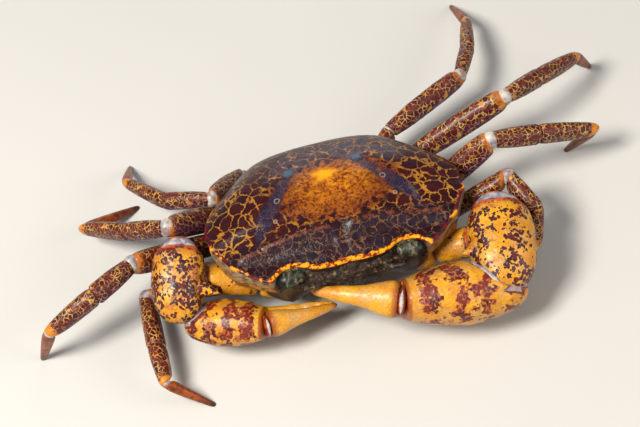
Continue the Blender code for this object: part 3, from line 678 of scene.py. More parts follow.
def past_carpus(name, point):
    """How far a point lies outside the egg of a claw's carpus, roughly, in millimetres."""
    a, b, axis, up, inner, outer, tall = carpus_frame(name)
    t = (point - a).dot(axis) / (b - a).length
    inside = clamp(t, 0.02, 0.98)
    (swell,) = reading(EGG, inside)
    off = point - (a + (b - a) * inside)
    x, y = off.dot(axis.cross(up)), off.dot(up)
    wide = (outer if x > 0 else inner) * swell
    reach = math.sqrt((x / wide) ** 2 + (y / (tall * swell)) ** 2)
    beyond = abs(t - inside) * (b - a).length
    return max((reach - 1) * (wide + tall * swell) / 2, beyond - 0.2)


def claw_carpus(name, paint):
    """The egg-shaped carpus with the spine on its inner corner."""
    a, b, axis, up, inner, outer, tall = carpus_frame(name)
    side = axis.cross(up)
    tip = placed(CLAWS[name]["spine"])
    size = 0.72 + 0.28 * CLAWS[name]["scale"]
    middle = a + (b - a) * 0.52
    thorn = (tip - middle).normalized()
    reach = (tip - middle).length

    def place(turn, share):
        t = (1 - math.cos(math.pi * share)) / 2
        (swell,) = reading(EGG, t)
        x, y = oval(turn, inner * swell, outer * swell, tall * swell, tall * swell, 2.2)
        out = side * x + up * y
        point = a + (b - a) * t + out
        if out.length > 0.01:
            flank = clamp(4 * min(abs(turn - 0.25), abs(turn - 1.25)))
            edge = ARCH + ARCH_DROP * flank**2 + 0.01 * math.sin(turn * 31.4)
            skin = clamp((edge - share) / 0.012) * clamp((share - 0.1) / 0.012)
            bumps = grain(point, 1.3, 0.09) + 0.03 * max(0.0, noise.noise(point * 2.4))
            point += out.normalized() * (bumps - 0.16 * skin)
        along = (point - middle).dot(thorn)
        if along > 0:
            aside = (point - middle - thorn * along).length
            point -= out.normalized() * 0.3 * bell(aside - 1.5 * size, 0.45)
            cone = reach - 1.8 * aside / size
            if cone > along:
                point += thorn * (cone - along)
        return point

    dressed(name + "_carpus", closed_skin(place, 170, 190), paint)


def creased(name, place):
    """place(turn, share) with the skin drawn in round the carpus, where a soft joint shows."""

    def drawn(turn, share):
        point, centre = place(turn, share), place(turn + 0.5, share)
        near = past_carpus(name, point)
        return point.lerp((point + centre) / 2, 0.12 * bell(near - 0.3, 0.3))

    return drawn


def mark_joint(name, bm):
    """Notes on a claw piece's vertices how near they lie to the carpus, from 1 at its skin to 0."""
    layer = bm.verts.layers.float.new("joint")
    for v in bm.verts:
        v[layer] = clamp(1 - past_carpus(name, v.co / MM) / 1.2)


def hand_frame(name):
    """Scale, base, knuckle, finger tip, axis and up of a claw's palm."""
    claw = CLAWS[name]
    base, knuckle, tip = [placed(p) for p in (*claw["palm"], claw["tip"])]
    axis = (knuckle - base).normalized()
    return claw["scale"], base, knuckle, tip, axis, square_to(Vector(claw["dorsal"]), axis)


def finger_frame(name):
    """Scale, root, tip, direction, lift and the palm's up of a claw's moving finger."""
    s, _, knuckle, tip, _, up = hand_frame(name)
    root = knuckle + up * KNUCKLE_RISE * s
    direction = (tip - root).normalized()
    return s, root, tip, direction, square_to(up, direction), up


def palm(name, paint):
    """The palm, going over into the fixed finger under the moving one."""
    s, base, knuckle, tip, axis, up = hand_frame(name)
    rows = []
    for t, wide, tall in ((0.0, 0.05, 0.05), (0.01, 1.3, 1.9), (0.05, 2.05, 2.95), (0.12, 2.8, 3.8),
                          (0.28, 3.6, 4.5), (0.5, 4.1, 4.9), (0.78, 3.6, 4.7), (0.93, 2.95, 4.35),
                          (1.0, 2.6, 4.1)):
        rows.append((0.55 * t, *(base + (knuckle - base) * t), *axis, wide * s, wide * s, tall * s, tall * s))
    finger = (tip - knuckle).normalized()
    low = knuckle - up * 2.45 * s
    end = tip - up * 1.1 * s - finger * 0.6 * s
    line = (end - low).normalized()
    for t, wide, tall, bow in ((0.02, 2.2, 1.55, 0.0), (0.2, 1.75, 1.35, 0.3), (0.4, 1.4, 1.1, 0.45),
                               (0.5, 1.25, 0.8, 0.5), (0.6, 1.15, 0.95, 0.45), (0.7, 1.0, 0.65, 0.35),
                               (0.8, 0.85, 0.75, 0.25), (0.97, 0.45, 0.4, 0.02), (1.0, 0.02, 0.02, 0.0)):
        centre = low + (end - low) * t - up * bow * s
        rows.append((0.57 + 0.43 * t, *centre, *line, wide * s, wide * s, tall * s, 1.15 * tall * s))
    bm = closed_skin(creased(name, lofted(rows, up, 2.3, 0.08)), 110, 220)
    mark_joint(name, bm)
    dressed(name + "_palm", bm, paint)


def moving_finger(name, paint):
    s, root, tip, direction, lift, up = finger_frame(name)
    start = root + direction * GAP * 2.6
    rows = []
    for t, wide, high_side, low_side, bow in ((-0.02, 0.05, 0.05, 0.05, 0.0), (0.0, 1.8, 1.7, 1.7, 0.0),
                                              (0.02, 2.25, 2.15, 2.08, 0.0), (0.08, 2.4, 2.3, 2.15, 0.05),
                                              (0.25, 1.95, 1.9, 1.7, 0.25), (0.4, 1.45, 1.4, 1.0, 0.4),
                                              (0.5, 1.25, 1.25, 1.15, 0.45), (0.6, 1.12, 1.1, 0.75, 0.45),
                                              (0.72, 0.95, 0.95, 0.85, 0.35), (0.86, 0.7, 0.7, 0.5, 0.2),
                                              (0.97, 0.4, 0.4, 0.38, 0.05), (1.0, 0.02, 0.02, 0.02, 0.0)):
        centre = start + (tip - start) * t + lift * bow * s
        rows.append(((t + 0.02) / 1.02, *centre, *direction, wide * s, wide * s, high_side * s, low_side * s))
    piece(name + "_finger_shell", closed_skin(lofted(rows, up, 2.2, 0.04), 72, 110), paint,
          nodes=[name + "_dactylus"])


def joint_skins(name, beads, paint):
    """Rounded lenses or sleeves of soft skin round a limb's joints, made from rows of centre, axis, up, half
    length, half width and half height."""
    bm = bmesh.new()
    for centre, axis, up, length, wide, tall in beads:
        axis = axis.normalized()
        up = square_to(up, axis)

        def place(turn, share):
            r = math.sin(math.pi * share) ** 0.6
            x, y = even_oval(turn, wide * r, tall * r)
            point = centre - axis * (math.cos(math.pi * share) * length) + axis.cross(up) * x + up * y
            return point + axis * grain(point, 0.5, 0.05)

        rolled_grid(bm, place, 28, 20)
    bmesh.ops.recalc_face_normals(bm, faces=bm.faces)
    piece(name + "_joint_skin", bm, paint)


def finger_hinge(name, paint):
    """Soft skin at the moving finger's hinge."""
    s, root, _, direction, lift, up = finger_frame(name)
    centre = root + direction * GAP * 1.25 + lift * 0.75 * s
    joint_skins(name, [(centre, direction, up, 0.5 * s, 2.05 * s, 1.66 * s)], paint)


def wrist_skin(paint):
    place = tapered([placed(p) for p in WRIST_SKIN], (0.12, 0.4, 0.5, 0.42, 0.12))
    piece("P1L_wrist_skin", closed_skin(place, 24, 60), paint)


def walking_leg(name, paints):
    points = [placed(p) for p in LEGS[name]]
    s = LEG_SCALE[name[:2]]
    out = points[-1] - points[0]
    out.z = 0.0
    up = Vector((0.0, 0.0, 1.0)) + out.normalized() * 0.7
    for k, part in enumerate(("coxa", "merus", "carpus", "propodus")):
        keel = 0.12 if part in ("merus", "propodus") else 0.05
        gaps = {"carpus": (GAP, 0.0), "propodus": (0.04, GAP)}.get(part, (GAP, GAP))
        place = segment(points, k, LEG_PARTS[part], s, up, *gaps, keel=keel)
        dressed(name + "_" + part, closed_skin(place, 44, 56), paints[part])
    points[5] += (points[5] - points[4]).normalized() * 0.35  # the tip is cut off flat at the floor
    straight = segment(points, 4, LEG_PARTS["dactylus"], s, up, end_gap=0.0)

    def place(turn, share):
        point = straight(turn, share)
        point.z = max(point.z, 0.0)
        return point

    dressed(name + "_dactylus", closed_skin(place, 32, 60), paints["dactylus"])
    beads = []
    for k, part, long, full in ((1, "coxa", 0.4, 0.9), (2, "merus", 0.9, 1.07), (4, "propodus", 0.4, 0.9)):
        _, wide, tall = LEG_PARTS[part][-1]
        beads.append((points[k], joint_plane(points, k), up, long * s, wide * s * full, tall * s * full))
    joint_skins(name, beads, paints["membrane"])


def tint(code):
    """A colour written as six hexadecimal digits, made linear for the shader."""
    values = [int(code[k:k + 2], 16) / 255 for k in (0, 2, 4)]
    return tuple(v / 12.92 if v <= 0.04045 else ((v + 0.055) / 1.055) ** 2.4 for v in values) + (1.0,)


class Paint:
    """A node material with its coordinates in millimetres, in the body's own frame where it is tilted.
    Each method adds nodes and gives back an output."""

    def __init__(self, name, roughness=0.4, coat=0.0, coat_roughness=0.2, subsurface=0.0, specular=0.5,
                 tilted=False):
        self.material = bpy.data.materials.new(name)
        self.material.use_nodes = True
        self.tree = self.material.node_tree
        self.inputs = self.tree.nodes["Principled BSDF"].inputs
        values = {"Roughness": roughness, "Coat Weight": coat, "Coat Roughness": coat_roughness,
                  "Specular IOR Level": specular, "Subsurface Weight": subsurface,
                  "Subsurface Radius": (1.0, 0.5, 0.3), "Subsurface Scale": 0.6 * MM}
        for key, value in values.items():
            self.inputs[key].default_value = value
        place = {"Vector": self.node("TexCoord", {}, "Object"), "Scale": (1 / MM, 1 / MM, 1 / MM)}
        if tilted:
            place["Location"] = -(Matrix.Rotation(PITCH, 3, "X") @ body(0.0, 0.0, 0.0))
            place["Rotation"] = (PITCH, 0.0, 0.0)
        self.where = self.node("Mapping", place)

    def node(self, kind, inputs, output=0, **settings):
        node = self.tree.nodes.new("ShaderNode" + kind)
        for key, value in settings.items():
            setattr(node, key, value)
        for key, value in inputs.items():
            if isinstance(value, bpy.types.NodeSocket):
                self.tree.links.new(value, node.inputs[key])
            else:
                node.inputs[key].default_value = value
        return node.outputs[output]

    def split(self, vector):
        node = self.tree.nodes.new("ShaderNodeSeparateXYZ")
        self.tree.links.new(vector, node.inputs[0])
        return node.outputs

    def skin(self):
        """The turn round a limb and the share of the way along it."""
        return self.split(self.node("UVMap", {}, uv_map="skin"))[:2]

    def attribute(self, name):
        return self.node("Attribute", {}, "Fac", attribute_name=name)

    def math(self, operation, a, b=0.0):
        return self.node("Math", {0: a, 1: b}, operation=operation)

    def plus(self, a, b):
        return self.math("ADD", a, b)

    def minus(self, a, b):
        return self.math("SUBTRACT", a, b)

    def times(self, a, b):
        return self.math("MULTIPLY", a, b)

    def larger(self, a, b):
        return self.math("MAXIMUM", a, b)

    def smaller(self, a, b):
        return self.math("MINIMUM", a, b)

    def off(self, value, centre):
        """How far a value lies from a centre."""
        return self.math("ABSOLUTE", self.minus(value, centre))

    def wave(self, value):
        return self.math("SINE", value)

    def vector(self, operation, a, b, output=0):
        return self.node("VectorMath", {0: a, 1: b}, output, operation=operation)

    def noise(self, scale, detail=3.0, rough=0.5, at=None, output="Fac"):
        """Noise from 0 to 1, with as many waves to the millimetre as the scale says."""
        inputs = {"Vector": at or self.where, "Scale": scale, "Detail": detail, "Roughness": rough}
        return self.node("TexNoise", inputs, output)

    def frayed(self, value, amount, scale, detail=3.0, rough=0.5, at=None):
        """A value with noise added to it."""
        return self.plus(value, self.times(self.noise(scale, detail, rough, at), amount))

    def swing(self, amount, scale, detail=3.0, rough=0.5):
        """Noise to both sides of 0, by up to half of the amount."""
        return self.times(self.minus(self.noise(scale, detail, rough), 0.5), amount)

    def uneven(self, scale, smooth, dull):
        """Roughness that wanders between two values."""
        return self.node("MapRange", {"Value": self.noise(scale, 4.0, 0.6), "From Min": 0.3, "From Max": 0.7,
                                      "To Min": smooth, "To Max": dull})

    def cells(self, where, scale, feature="F1", output="Distance"):
        return self.node("TexVoronoi", {"Vector": where, "Scale": scale}, output, feature=feature)

    def warped(self, scale, amount, detail=2.0, at=None):
        """Coordinates pushed about by noise, by up to half of the amount either way."""
        push = self.vector("SUBTRACT", self.noise(scale, detail, at=at, output="Color"), (0.5, 0.5, 0.5))
        push = self.node("VectorMath", {0: push, "Scale": amount}, operation="SCALE")
        return self.vector("ADD", at or self.where, push)

    def step(self, value, low, high):
        """0 below low, 1 above high and smooth between, or falling where low is the greater."""
        ends = {"From Min": low, "From Max": high}
        if low > high:
            ends = {"From Min": high, "From Max": low, "To Min": 1.0, "To Max": 0.0}
        return self.node("MapRange", {"Value": value, **ends}, interpolation_type="SMOOTHSTEP")

    def patches(self, scale, low, high, detail=3.0, rough=0.5, at=None):
        return self.step(self.noise(scale, detail, rough, at), low, high)

    def blend(self, share, a, b):
        a, b = [tint(c) if isinstance(c, str) else c for c in (a, b)]
        return self.node("Mix", {0: share, 6: a, 7: b}, 2, data_type="RGBA")

    def over(self, colour, share, layer, strength):
        """A colour with a layer laid over it where the share is 1, at the given strength."""
        return self.blend(self.times(share, strength), colour, layer)

    def mottled(self, a, b, scale, low, high, detail=3.0, rough=0.5):
        """One colour with patches of another."""
        return self.blend(self.patches(scale, low, high, detail, rough), a, b)

    def spot(self, where, centre, size, soft):
        """1 inside an ellipsoid of given half sizes and 0 outside it."""
        off = self.vector("DIVIDE", self.vector("SUBTRACT", where, centre), size)
        far = self.node("VectorMath", {0: off}, "Value", operation="LENGTH")
        return self.step(far, 1.0 + soft / 2, 1.0 - soft / 2)

    def done(self, colour, height=None, depth=0.1, roughness=None):
        """Links the colour, a bump of depth millimetres and the roughness, and gives back the material."""
        links = {"Base Color": colour, "Roughness": roughness}
        if height:
            links["Normal"] = self.node("Bump", {"Height": height, "Distance": depth * MM, "Strength": 1.0})
        for key, output in links.items():
            if output:
                self.tree.links.new(output, self.inputs[key])
        return self.material


def orange_middle(p):
    """The orange of the shell's middle, freckled brown and brightest in the middle of it."""
    freckle = p.patches(2.6, 0.43, 0.58, 5.0, 0.72, p.warped(1.5, 0.8))
    bright = p.patches(1.1, 0.53, 0.64, 4.0, 0.65, p.warped(2.0, 0.6))
    orange = p.over(p.blend(freckle, "b86c0c", "682808"), bright, "d48c0e", 0.75)
    orange = p.over(orange, p.patches(0.6, 0.5, 0.68), "74340c", 0.6)
    glow = p.spot(p.warped(0.5, 3.0), (0.5, -0.9, 2.5), (4.7, 3.2, 6.0), 1.3)
    return p.over(p.blend(freckle, "7c3e0c", "421208"), glow, orange, 0.8)


def shell_marks(p, half, y):
    """The pit, where a bluish highlight is painted, and the pale rings and dots of each side of the shell, as
    two masks.
    """
    mirrored = p.node("CombineXYZ", {0: half, 1: y, 2: 0.0})

    def away(place_x, place_y):
        return p.vector("DISTANCE", mirrored, (place_x, place_y, 0.0), "Value")

    pit = p.step(p.plus(away(4.5, 2.9), p.noise(1.5)), 1.5, 0.8)
    rings = [p.step(p.off(away(*place), radius), 0.09, 0.04) for place, radius in (((7.0, -1.3), 0.34),
                                                                                  ((7.9, -4.2), 0.22))]
    return pit, p.larger(p.larger(*rings), p.step(away(3.8, 0.2), 0.2, 0.12))


def rim_band(p, half, y, rim, beads):
    """The band along the shell's edge as a mask, and its colour, crimson with yellow at the side teeth."""
    patches = p.patches(0.9, 0.64, 0.7)
    for tooth in (-8.3, -4.5, 2.5):
        patches = p.larger(patches, p.step(p.off(y, tooth), 0.55, 0.25))
    side_colour = p.blend(patches, p.mottled("680c10", "34101e", 1.3, 0.4, 0.6), "d8880e")
    fore = p.times(p.step(y, -8.9, -9.4), p.step(half, 11.0, 10.4))
    width = p.minus(p.plus(rim, p.swing(0.8, 1.6, 2.0)), p.times(fore, 0.1))
    return p.times(p.step(width, 0.38, 0.18), p.step(y, 6.0, 3.0)), p.blend(fore, side_colour, beads)


def wall_colour(p, half, y, below):
    """The side wall's tan skin, pink above and amber below, with maroon flecks, darkest below the front."""
    wall = p.mottled("9c8a64", "716048", 1.0, 0.4, 0.65, 5.0, 0.65)
    wall = p.over(wall, p.patches(0.5, 0.48, 0.64), "8e7064", 0.6)
    wall = p.over(wall, p.step(below, 0.4, 0.7), "a87028", 0.75)
    flecks = p.step(p.frayed(p.cells(p.warped(1.5, 0.6), 0.95), 0.5, 0.8), 0.74, 0.62)
    wall = p.over(wall, flecks, "54281a", 0.6)
    return p.blend(p.times(p.step(half, 10.6, 9.4), p.step(y, -4.0, -8.0)), wall, "2c1e1a")


def shell_paint():
    """Dark maroon blots in a net of thin ochre lines, with an orange middle and a beaded yellow edge."""
    p = Paint("reticulated back shell", coat=0.06, coat_roughness=0.15, specular=0.22, tilted=True)
    x, y, _ = p.split(p.where)
    half = p.math("ABSOLUTE", x)
    rim, furrow, ridge, below = [p.attribute(name) for name in SHELL_LAYERS]
    # The net is coarse over the gills and finer in the middle, in front and behind.
    sizes = 0.6, 0.86
    loose = p.warped(3.0, 0.42, 3.0, p.warped(0.8, 1.2))
    front = p.step(p.frayed(y, 1.6, 0.8), -5.2, -6.4)
    behind = p.step(y, 5.0, 9.5)
    middle = p.spot(p.warped(0.5, 2.6), (0.5, -1.2, 2.5), (7.2, 4.1, 6.0), 0.9)
    fine = p.step(p.larger(middle, p.larger(front, behind)), 0.2, 0.26)
    coarse, small = [p.cells(loose, size, "DISTANCE_TO_EDGE") for size in sizes]
    edge = p.plus(p.node("Mix", {0: fine, 2: coarse, 3: small}), p.swing(0.2, 0.7, 4.0, 0.65))
    line = p.step(p.minus(edge, p.times(middle, 0.42)), 0.062, 0.02)
    lateral = p.step(half, 8.0, 12.0)
    torn = p.times(front, p.patches(1.3, 0.52, 0.4, 3.0, 0.6))
    spread = p.larger(p.larger(p.larger(p.patches(0.5, 0.3, 0.46, 2.0), front), lateral), middle)
    thin = p.times(line, p.minus(spread, p.times(torn, 0.7)))
    # Blots, violet in front, and the lines between them.
    tone, front_tone = [p.split(p.cells(loose, size, output="Color"))[0] for size in sizes]
    dark = p.blend(tone, "1c0407", "360a0c")
    dark = p.blend(p.patches(1.1, 0.5, 0.68), dark, "1e0a18")
    dark = p.over(dark, p.patches(5.5, 0.5, 0.72, 4.0, 0.7), "561a1c", 0.6)
    dark = p.over(dark, front, p.blend(front_tone, "1a040c", "171422"), 0.7)
    dark = p.over(dark, behind, "20121a", 0.4)
    ochre = p.over(p.mottled("62340e", "9c681c", 0.9, 0.35, 0.62), lateral, "a06c20", 0.8)
    ochre = p.over(ochre, front, p.blend(p.noise(0.8), "3c2024", "6c4a2e"), 0.85)
    ochre = p.over(ochre, behind, "70583c", 0.5)
    colour = p.blend(thin, dark, p.blend(p.step(middle, 0.02, 0.3), ochre, orange_middle(p)))
    yellow = p.spot(p.warped(1.3, 1.8, 4.0), (-0.2, 0.9, 3.0), (1.3, 0.95, 3.0), 1.3)
    colour = p.blend(yellow, colour, "e6960a")
    # Glossy bands in the grooves with a dark bluish painted sheen, and beside them the pits, given a painted
    # bluish highlight, and the pale marks.
    glossy_groove_sheen = p.times(p.step(furrow, 0.1, 0.8), p.patches(0.8, 0.22, 0.5))
    colour = p.over(colour, glossy_groove_sheen, p.blend(p.noise(2.0), "18101e", "2c2840"), 0.85)
    pit, marks = shell_marks(p, half, y)
    # A painted bluish highlight on the pits, and pale rings and dots for the marks.
    colour = p.over(p.over(colour, pit, "465a68", 0.8), marks, "9c8a78", 0.6)
    # The crest and the front edge carry warm beads.
    broken = p.patches(1.7, 0.42, 0.54, 3.0, 0.6)
    colour = p.blend(p.times(p.step(ridge, 0.8, 1.0), p.times(broken, 0.4)), colour, "8a3c0e")
    band, band_colour = rim_band(p, half, y, rim, p.blend(broken, "7a1808", "e8980e"))
    colour = p.blend(band, colour, band_colour)
    colour = p.blend(p.step(below, 0.06, 0.14), colour, wall_colour(p, half, y, below))
    grit_share = p.larger(p.times(front, 0.2), p.step(below, 0.02, 0.2))
    height = p.times(p.step(p.cells(p.warped(2.0, 0.3), 3.0, "SMOOTH_F1"), 0.5, 0.1), grit_share)
    height = p.plus(p.frayed(height, 0.45, 3.0, 4.0, 0.6), p.times(thin, 0.12))
    height = p.plus(height, p.times(glossy_groove_sheen, p.times(p.noise(5.0, 3.0, 0.7), 0.9)))
    rough = p.plus(p.uneven(1.2, 0.24, 0.5), p.times(p.step(below, 0.06, 0.2), 0.18))
    return p.done(colour, height, 0.09, p.minus(rough, p.times(glossy_groove_sheen, 0.14)))


def claw_paint(name, kind):
    """Amber with maroon dots that run together into blotches. kind is arm, carpus, palm or finger."""
    p = Paint(name, coat=0.12, subsurface=0.05, specular=0.4)
    turn, share = p.skin()
    # 0 on the upper side of the limb and 1 on its flanks and below.
    flank = p.smaller(p.times(p.smaller(p.off(turn, 0.25), p.off(turn, 1.25)), 4.0), 1.0)
    amber = p.mottled("c07c14", "d89a1c", 0.45, 0.35, 0.65)
    amber = p.over(amber, p.patches(0.4, 0.47, 0.6, 4.0, 0.6), "bc9050", 0.75)
    amber = p.over(amber, p.patches(3.5, 0.42, 0.62, 4.0, 0.65), "8c5a14", 0.3)
    # The dots are large where the cloud rises over the level, and on the smaller, right claw it rises more.
    cloud = p.plus(p.times(p.noise(0.4, 1.0), 0.6), p.noise(0.9, 2.0))
    cloud = p.plus(cloud, p.times(p.step(p.split(p.where)[0], 0.0, -4.0), 0.06))
    level = {"arm": 0.92, "carpus": 0.79, "palm": 0.78, "finger": 1.2}[kind]
    if kind == "palm":
        bands = p.wave(p.minus(p.times(share, 49.5), 2.1))
        cloud = p.minus(p.plus(cloud, p.times(bands, 0.1)), p.times(p.step(share, 0.5, 0.56), 0.4))
        cloud = p.minus(cloud, p.times(flank, 0.08))
    radius = p.smaller(p.plus(p.times(p.minus(cloud, level), 4.5), 0.42), 0.68)
    stain = p.step(p.minus(radius, p.cells(p.warped(1.5, 0.5, at=p.warped(3.5, 0.24)), 2.4)), 0.0, 0.07)
    maroon = p.mottled("300818", "561410", 0.8, 0.4, 0.65)
    if kind in ("palm", "finger"):
        rust = p.frayed(cloud, 0.5, 1.4, 3.0, 0.6, p.warped(0.8, 1.2))
        amber = p.over(amber, p.step(rust, level + 0.22, level + 0.3), "8c380e", 0.75)
        maroon = p.blend(p.patches(0.5, 0.44, 0.56), maroon, "6c1c10")
    elif kind == "carpus":
        amber = p.over(amber, p.patches(0.5, 0.57, 0.66, 3.0, 0.6, p.warped(0.8, 1.2)), "8a3a10", 0.6)
    colour = p.blend(stain, amber, maroon)
    lips = p.mottled("5c1414", "b0480e", 1.2, 0.42, 0.58)
    near = p.frayed(p.attribute("joint"), 0.2, 1.5)
    if kind == "arm":
        colour = p.over(colour, p.step(near, 0.55, 0.75), lips, 0.85)
    elif kind == "carpus":
        colour = carpus_arch(p, colour, share, flank, lips)
    elif kind == "palm":
        colour = p.over(colour, p.step(p.off(share, 0.55), 0.022, 0.008), "80280c", 0.8)
        colour = p.over(colour, p.step(near, 0.5, 0.62), "6c2010", 0.85)
        near = p.plus(near, p.minus(p.times(p.step(share, 0.06, 0.16), 0.24), 0.08))
        colour = p.blend(p.step(near, 0.76, 0.8), colour, p.blend(p.noise(1.5), "75656e", "a8968e"))
    else:
        colour = p.blend(p.step(share, 0.86, 0.98), colour, "8c4c0e")
        colour = p.over(colour, p.step(share, 0.12, 0.04), "7a2410", 0.8)
    grit = p.step(p.cells(p.where, 2.6, "SMOOTH_F1"), 0.45, 0.1)
    return p.done(colour, p.frayed(p.times(grit, 0.5), 0.8, 2.5, 5.0, 0.6), 0.08, p.uneven(1.0, 0.32, 0.56))


def carpus_arch(p, colour, share, flank, lips):
    """The carpus's colour with the pearly skin at its start, in an arch between red lips."""
    arch = p.minus(share, p.times(p.math("POWER", flank, 2.0), ARCH_DROP))
    sway = p.plus(arch, p.swing(0.05, 0.9))
    pearl = p.mottled("6e6a7c", "b0a6a2", 1.0, 0.4, 0.6, 3.0, 0.6)
    colour = p.blend(p.step(sway, ARCH + 0.055, ARCH + 0.015), colour, lips)
    middle = p.step(p.frayed(flank, 0.3, 1.0), 0.85, 0.75)
    colour = p.blend(p.step(sway, ARCH, ARCH - 0.015), colour, p.blend(middle, lips, pearl))
    colour = p.blend(p.step(sway, 0.13, 0.11), colour, lips)
    return p.blend(p.step(share, 0.1, 0.07), colour, "9a6a34")


def leg_paint(name, kind):
    """Small maroon spots in a fine net, ochre on the upper side and pink below, orange at the ends."""
    p = Paint(name, coat=0.12, specular=0.35)
    turn, share = p.skin()
    cell_size = {"coxa": 1.5, "merus": 1.45, "carpus": 1.6, "propodus": 1.55}[kind]
    edge = p.cells(p.warped(4.0, 0.2, at=p.warped(1.2, 0.6)), cell_size, "DISTANCE_TO_EDGE")
    net = p.step(p.plus(edge, p.swing(0.36, 0.9, 3.0, 0.6)), 0.07, 0.025)
    # The turn is 0.25 on the upper side and 0.75 below.
    under, upper = p.step(p.off(turn, 0.75), 0.3, 0.16), p.step(p.off(turn, 0.25), 0.22, 0.08)
    lines = p.over(p.mottled("965c20", "bc8c50", 0.7, 0.38, 0.62), upper, "c08426", 0.5)
    lines = p.over(lines, under, "94686e", 0.7)
    dark = p.over(p.mottled("2c080e", "4e1012", 0.9, 0.4, 0.6), under, "3a1434", 0.6)
    dark = p.over(dark, p.times(p.patches(0.6, 0.5, 0.64, 2.0), upper), "6a2010", 0.5)
    colour = p.blend(net, dark, lines)
    if kind == "merus":
        colour = p.over(colour, p.step(p.frayed(share, 0.1, 2.0), 0.93, 0.98), "b4640e", 0.8)
    if kind == "propodus":
        colour = p.over(colour, p.step(p.frayed(share, 0.2, 2.0), 0.93, 0.99), "cc7c10", 0.9)
    # A row of yellow dashes along the side.
    ragged = p.times(p.noise(2.5), 0.1)
    lower = p.step(p.off(p.plus(turn, ragged), 1.0), 0.04, 0.01)
    dashes = p.step(p.wave(p.times(p.plus(share, ragged), 60.0)), 0.1, 0.6)
    colour = p.blend(p.times(p.times(lower, dashes), p.patches(0.7, 0.46, 0.54)), colour, "b0801c")
    height = p.plus(p.times(p.noise(3.5, 4.0, 0.6), 0.8), p.times(net, 0.25))
    return p.done(colour, height, 0.08, p.uneven(1.4, 0.32, 0.58))


def tip_paint():
    """Orange-brown horn, darker towards its point, with fine lengthwise lines."""
    p = Paint("leg tip horn", coat=0.1, coat_roughness=0.25, specular=0.3)
    turn, share = p.skin()
    colour = p.mottled("5c2408", "944408", 1.2, 0.35, 0.65, 4.0, 0.6)
    colour = p.blend(p.step(share, 0.6, 0.98), colour, "3c180a")
    colour = p.blend(p.step(share, 0.1, 0.05), colour, "8a5030")
    lines = p.wave(p.times(turn, 75.4))
    return p.done(colour, p.plus(p.times(lines, 0.4), p.noise(4.0)), 0.04)


def membrane_paint():
    """Wet pearly skin, from grey white to lilac grey with tan patches."""
    p = Paint("joint skin", coat=0.15, subsurface=0.15)
    colour = p.mottled("bab0a2", "7a7480", 0.8, 0.38, 0.62, 3.0, 0.6)
    colour = p.blend(p.patches(1.6, 0.52, 0.66, 4.0, 0.6), colour, "96683e")
    return p.done(colour, p.noise(2.0, 4.0, 0.6, p.warped(2.0, 0.5)), 0.1)


def hinge_paint():
    """Orange-red skin of the moving finger's hinge with a pointed white lens on its upper side."""
    p = Paint("hinge skin", roughness=0.45, coat=0.1, subsurface=0.1)
    turn, share = p.skin()
    away = p.math("DIVIDE", p.off(turn, 0.27), 0.15)
    lens = p.plus(p.math("DIVIDE", p.off(share, 0.5), 0.2), p.plus(away, p.noise(1.5)))
    red = p.mottled("5c1a0e", "a8480e", 1.2, 0.4, 0.6)
    white = p.mottled("b8aea4", "86808a", 1.6, 0.4, 0.62, 4.0, 0.6)
    colour = p.blend(p.step(lens, 1.6, 1.4), red, white)
    return p.done(colour, p.noise(2.0, 4.0, at=p.warped(2.0, 0.5)), 0.08)


def eye_paint():
    """Dark grey-green eyes with pale swirls and a small dark cornea."""
    p = Paint("eye", coat=0.1, specular=0.3)
    _, share = p.skin()
    swirls = p.wave(p.plus(p.times(share, 16.0), p.times(p.noise(0.8, 2.0), 24.0)))
    skin = p.mottled("101416", "3a3c2c", 1.6, 0.4, 0.6, 4.0, 0.6)
    skin = p.over(skin, p.step(swirls, 0.4, 0.95), "6c6448", 0.75)
    outer = p.step(p.frayed(share, 0.14, 1.2), 0.78, 0.84)
    colour = p.blend(outer, skin, p.mottled("06080a", "141a1c", 1.0, 0.4, 0.7))
    rough = p.node("MapRange", {"Value": outer, "To Min": 0.5, "To Max": 0.4})
    return p.done(colour, p.cells(p.where, 12.0, "DISTANCE_TO_EDGE"), 0.012, rough)


def socket_paint():
    """Grey-green lining of the eye's notch with pale curved lines."""
    p = Paint("eye socket skin", roughness=0.5, coat=0.2)
    colour = p.mottled("1e2018", "3c3a2a", 1.4, 0.4, 0.6, 4.0, 0.6)
    bend = p.noise(1.6, at=p.warped(1.0, 1.5))
    streak = p.times(p.step(bend, 0.52, 0.58), p.step(bend, 0.66, 0.6))
    return p.done(p.blend(streak, colour, "7a6c4a"), p.noise(2.5, 4.0, 0.6), 0.08)


def under_paint():
    """Tan breast and tail flap with brown clouds and darker flecks, darkest towards the face."""
    p = Paint("underside shell", coat=0.15, coat_roughness=0.3)
    colour = p.mottled("b08c5c", "74482c", 0.5, 0.35, 0.7, 4.0, 0.6)
    colour = p.blend(p.patches(1.8, 0.52, 0.66, 5.0, 0.65), colour, "542418")
    colour = p.over(colour, p.step(p.split(p.where)[1], -12.0, -16.0), "2a1e1a", 0.9)
    return p.done(colour, p.noise(2.4, 5.0, 0.6), 0.08)


def mouth_paint():
    """Dark brown purple mouth parts and face with a rough skin and tan specks."""
    p = Paint("mouth shell", roughness=0.55, coat=0.05, coat_roughness=0.3, specular=0.3)
    colour = p.mottled("1a1012", "3c2a22", 0.9, 0.4, 0.65, 4.0, 0.6)
    colour = p.blend(p.patches(2.2, 0.52, 0.64, 5.0, 0.7), colour, "74603f")
    return p.done(colour, p.noise(4.0, 4.0, 0.6, p.warped(3.0, 0.3)), 0.1)


def floor():
    bm = bmesh.new()
    bmesh.ops.create_grid(bm, x_segments=1, y_segments=1, size=1.2)
    p = Paint("pale floor", roughness=0.7)
    obj = meshed("floor", bm, p.done(p.blend(p.noise(0.02), "bdbab4", "c6c3bd")))


def lamp(name, place, aim, power, size, colour):
    light = bpy.data.lights.new(name, "AREA")
    light.energy = power
    light.size = size * MM
    light.color = colour
    obj = added(name, light)
    obj.location = Vector(place) * MM
    obj.rotation_euler = (Vector(place) - Vector(aim)).to_track_quat("Z", "Y").to_euler()


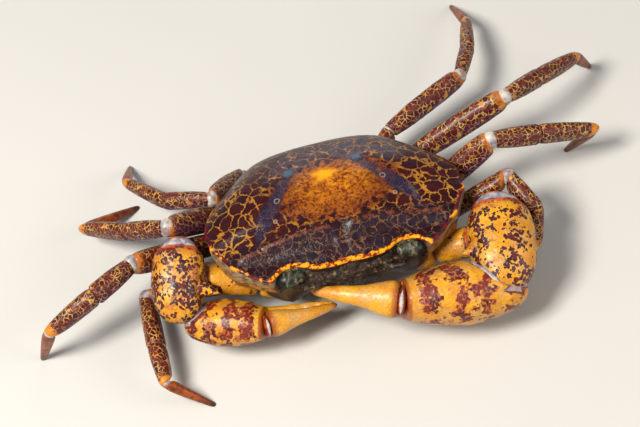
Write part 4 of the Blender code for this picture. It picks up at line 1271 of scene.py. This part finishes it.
def studio():
    """A large soft key from the upper left, a weaker fill and a cool light from behind."""
    aim = (0.0, 0.0, 8.0)
    lamp("key", (-190.0, -130.0, 330.0), aim, 2.5, 110.0, (1.0, 0.97, 0.92))
    lamp("fill", (280.0, -200.0, 200.0), aim, 0.7, 240.0, (1.0, 0.95, 0.88))
    lamp("back", (60.0, 380.0, 110.0), aim, 0.35, 200.0, (0.8, 0.88, 1.0))
    world = bpy.data.worlds.new("studio")
    world.use_nodes = True
    background = world.node_tree.nodes["Background"]
    background.inputs["Color"].default_value = (0.9, 0.93, 1.0, 1.0)
    background.inputs["Strength"].default_value = 0.22
    bpy.context.scene.world = world
    bpy.context.scene.view_settings.view_transform = "Standard"


def camera():
    data = bpy.data.cameras.new("camera")
    data.lens = CAMERA_LENS
    data.clip_start = 0.01
    obj = added("camera", data)
    place, aim = Vector(CAMERA_PLACE), Vector(CAMERA_AIM)
    roll = Quaternion((0.0, 0.0, 1.0), math.radians(CAMERA_ROLL))
    obj.location = place * MM
    obj.rotation_euler = ((place - aim).to_track_quat("Z", "Y") @ roll).to_euler()
    bpy.context.scene.camera = obj


def crab():
    """Every piece of the animal."""
    mouth_skin, under = mouth_paint(), under_paint()
    membrane, hinge = membrane_paint(), hinge_paint()
    carapace(shell_paint())
    trunk(under)
    abdomen(under)
    mouth(mouth_skin)
    face(mouth_skin)
    eyes(eye_paint())
    sockets(socket_paint())
    antennae(mouth_skin)
    arm, wrist = claw_paint("claw arm", "arm"), claw_paint("claw carpus", "carpus")
    hand, finger = claw_paint("claw palm", "palm"), claw_paint("claw finger", "finger")
    for name in CLAWS:
        claw_arm(name, arm)
        claw_carpus(name, wrist)
        palm(name, hand)
        moving_finger(name, finger)
        finger_hinge(name, hinge)
    wrist_skin(membrane)
    paints = {kind: leg_paint("leg " + kind, kind) for kind in ("coxa", "merus", "carpus", "propodus")}
    paints["dactylus"] = tip_paint()
    paints["membrane"] = membrane
    for name in LEGS:
        walking_leg(name, paints)


def main():
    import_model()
    crab()
    floor()
    studio()
    camera()


main()
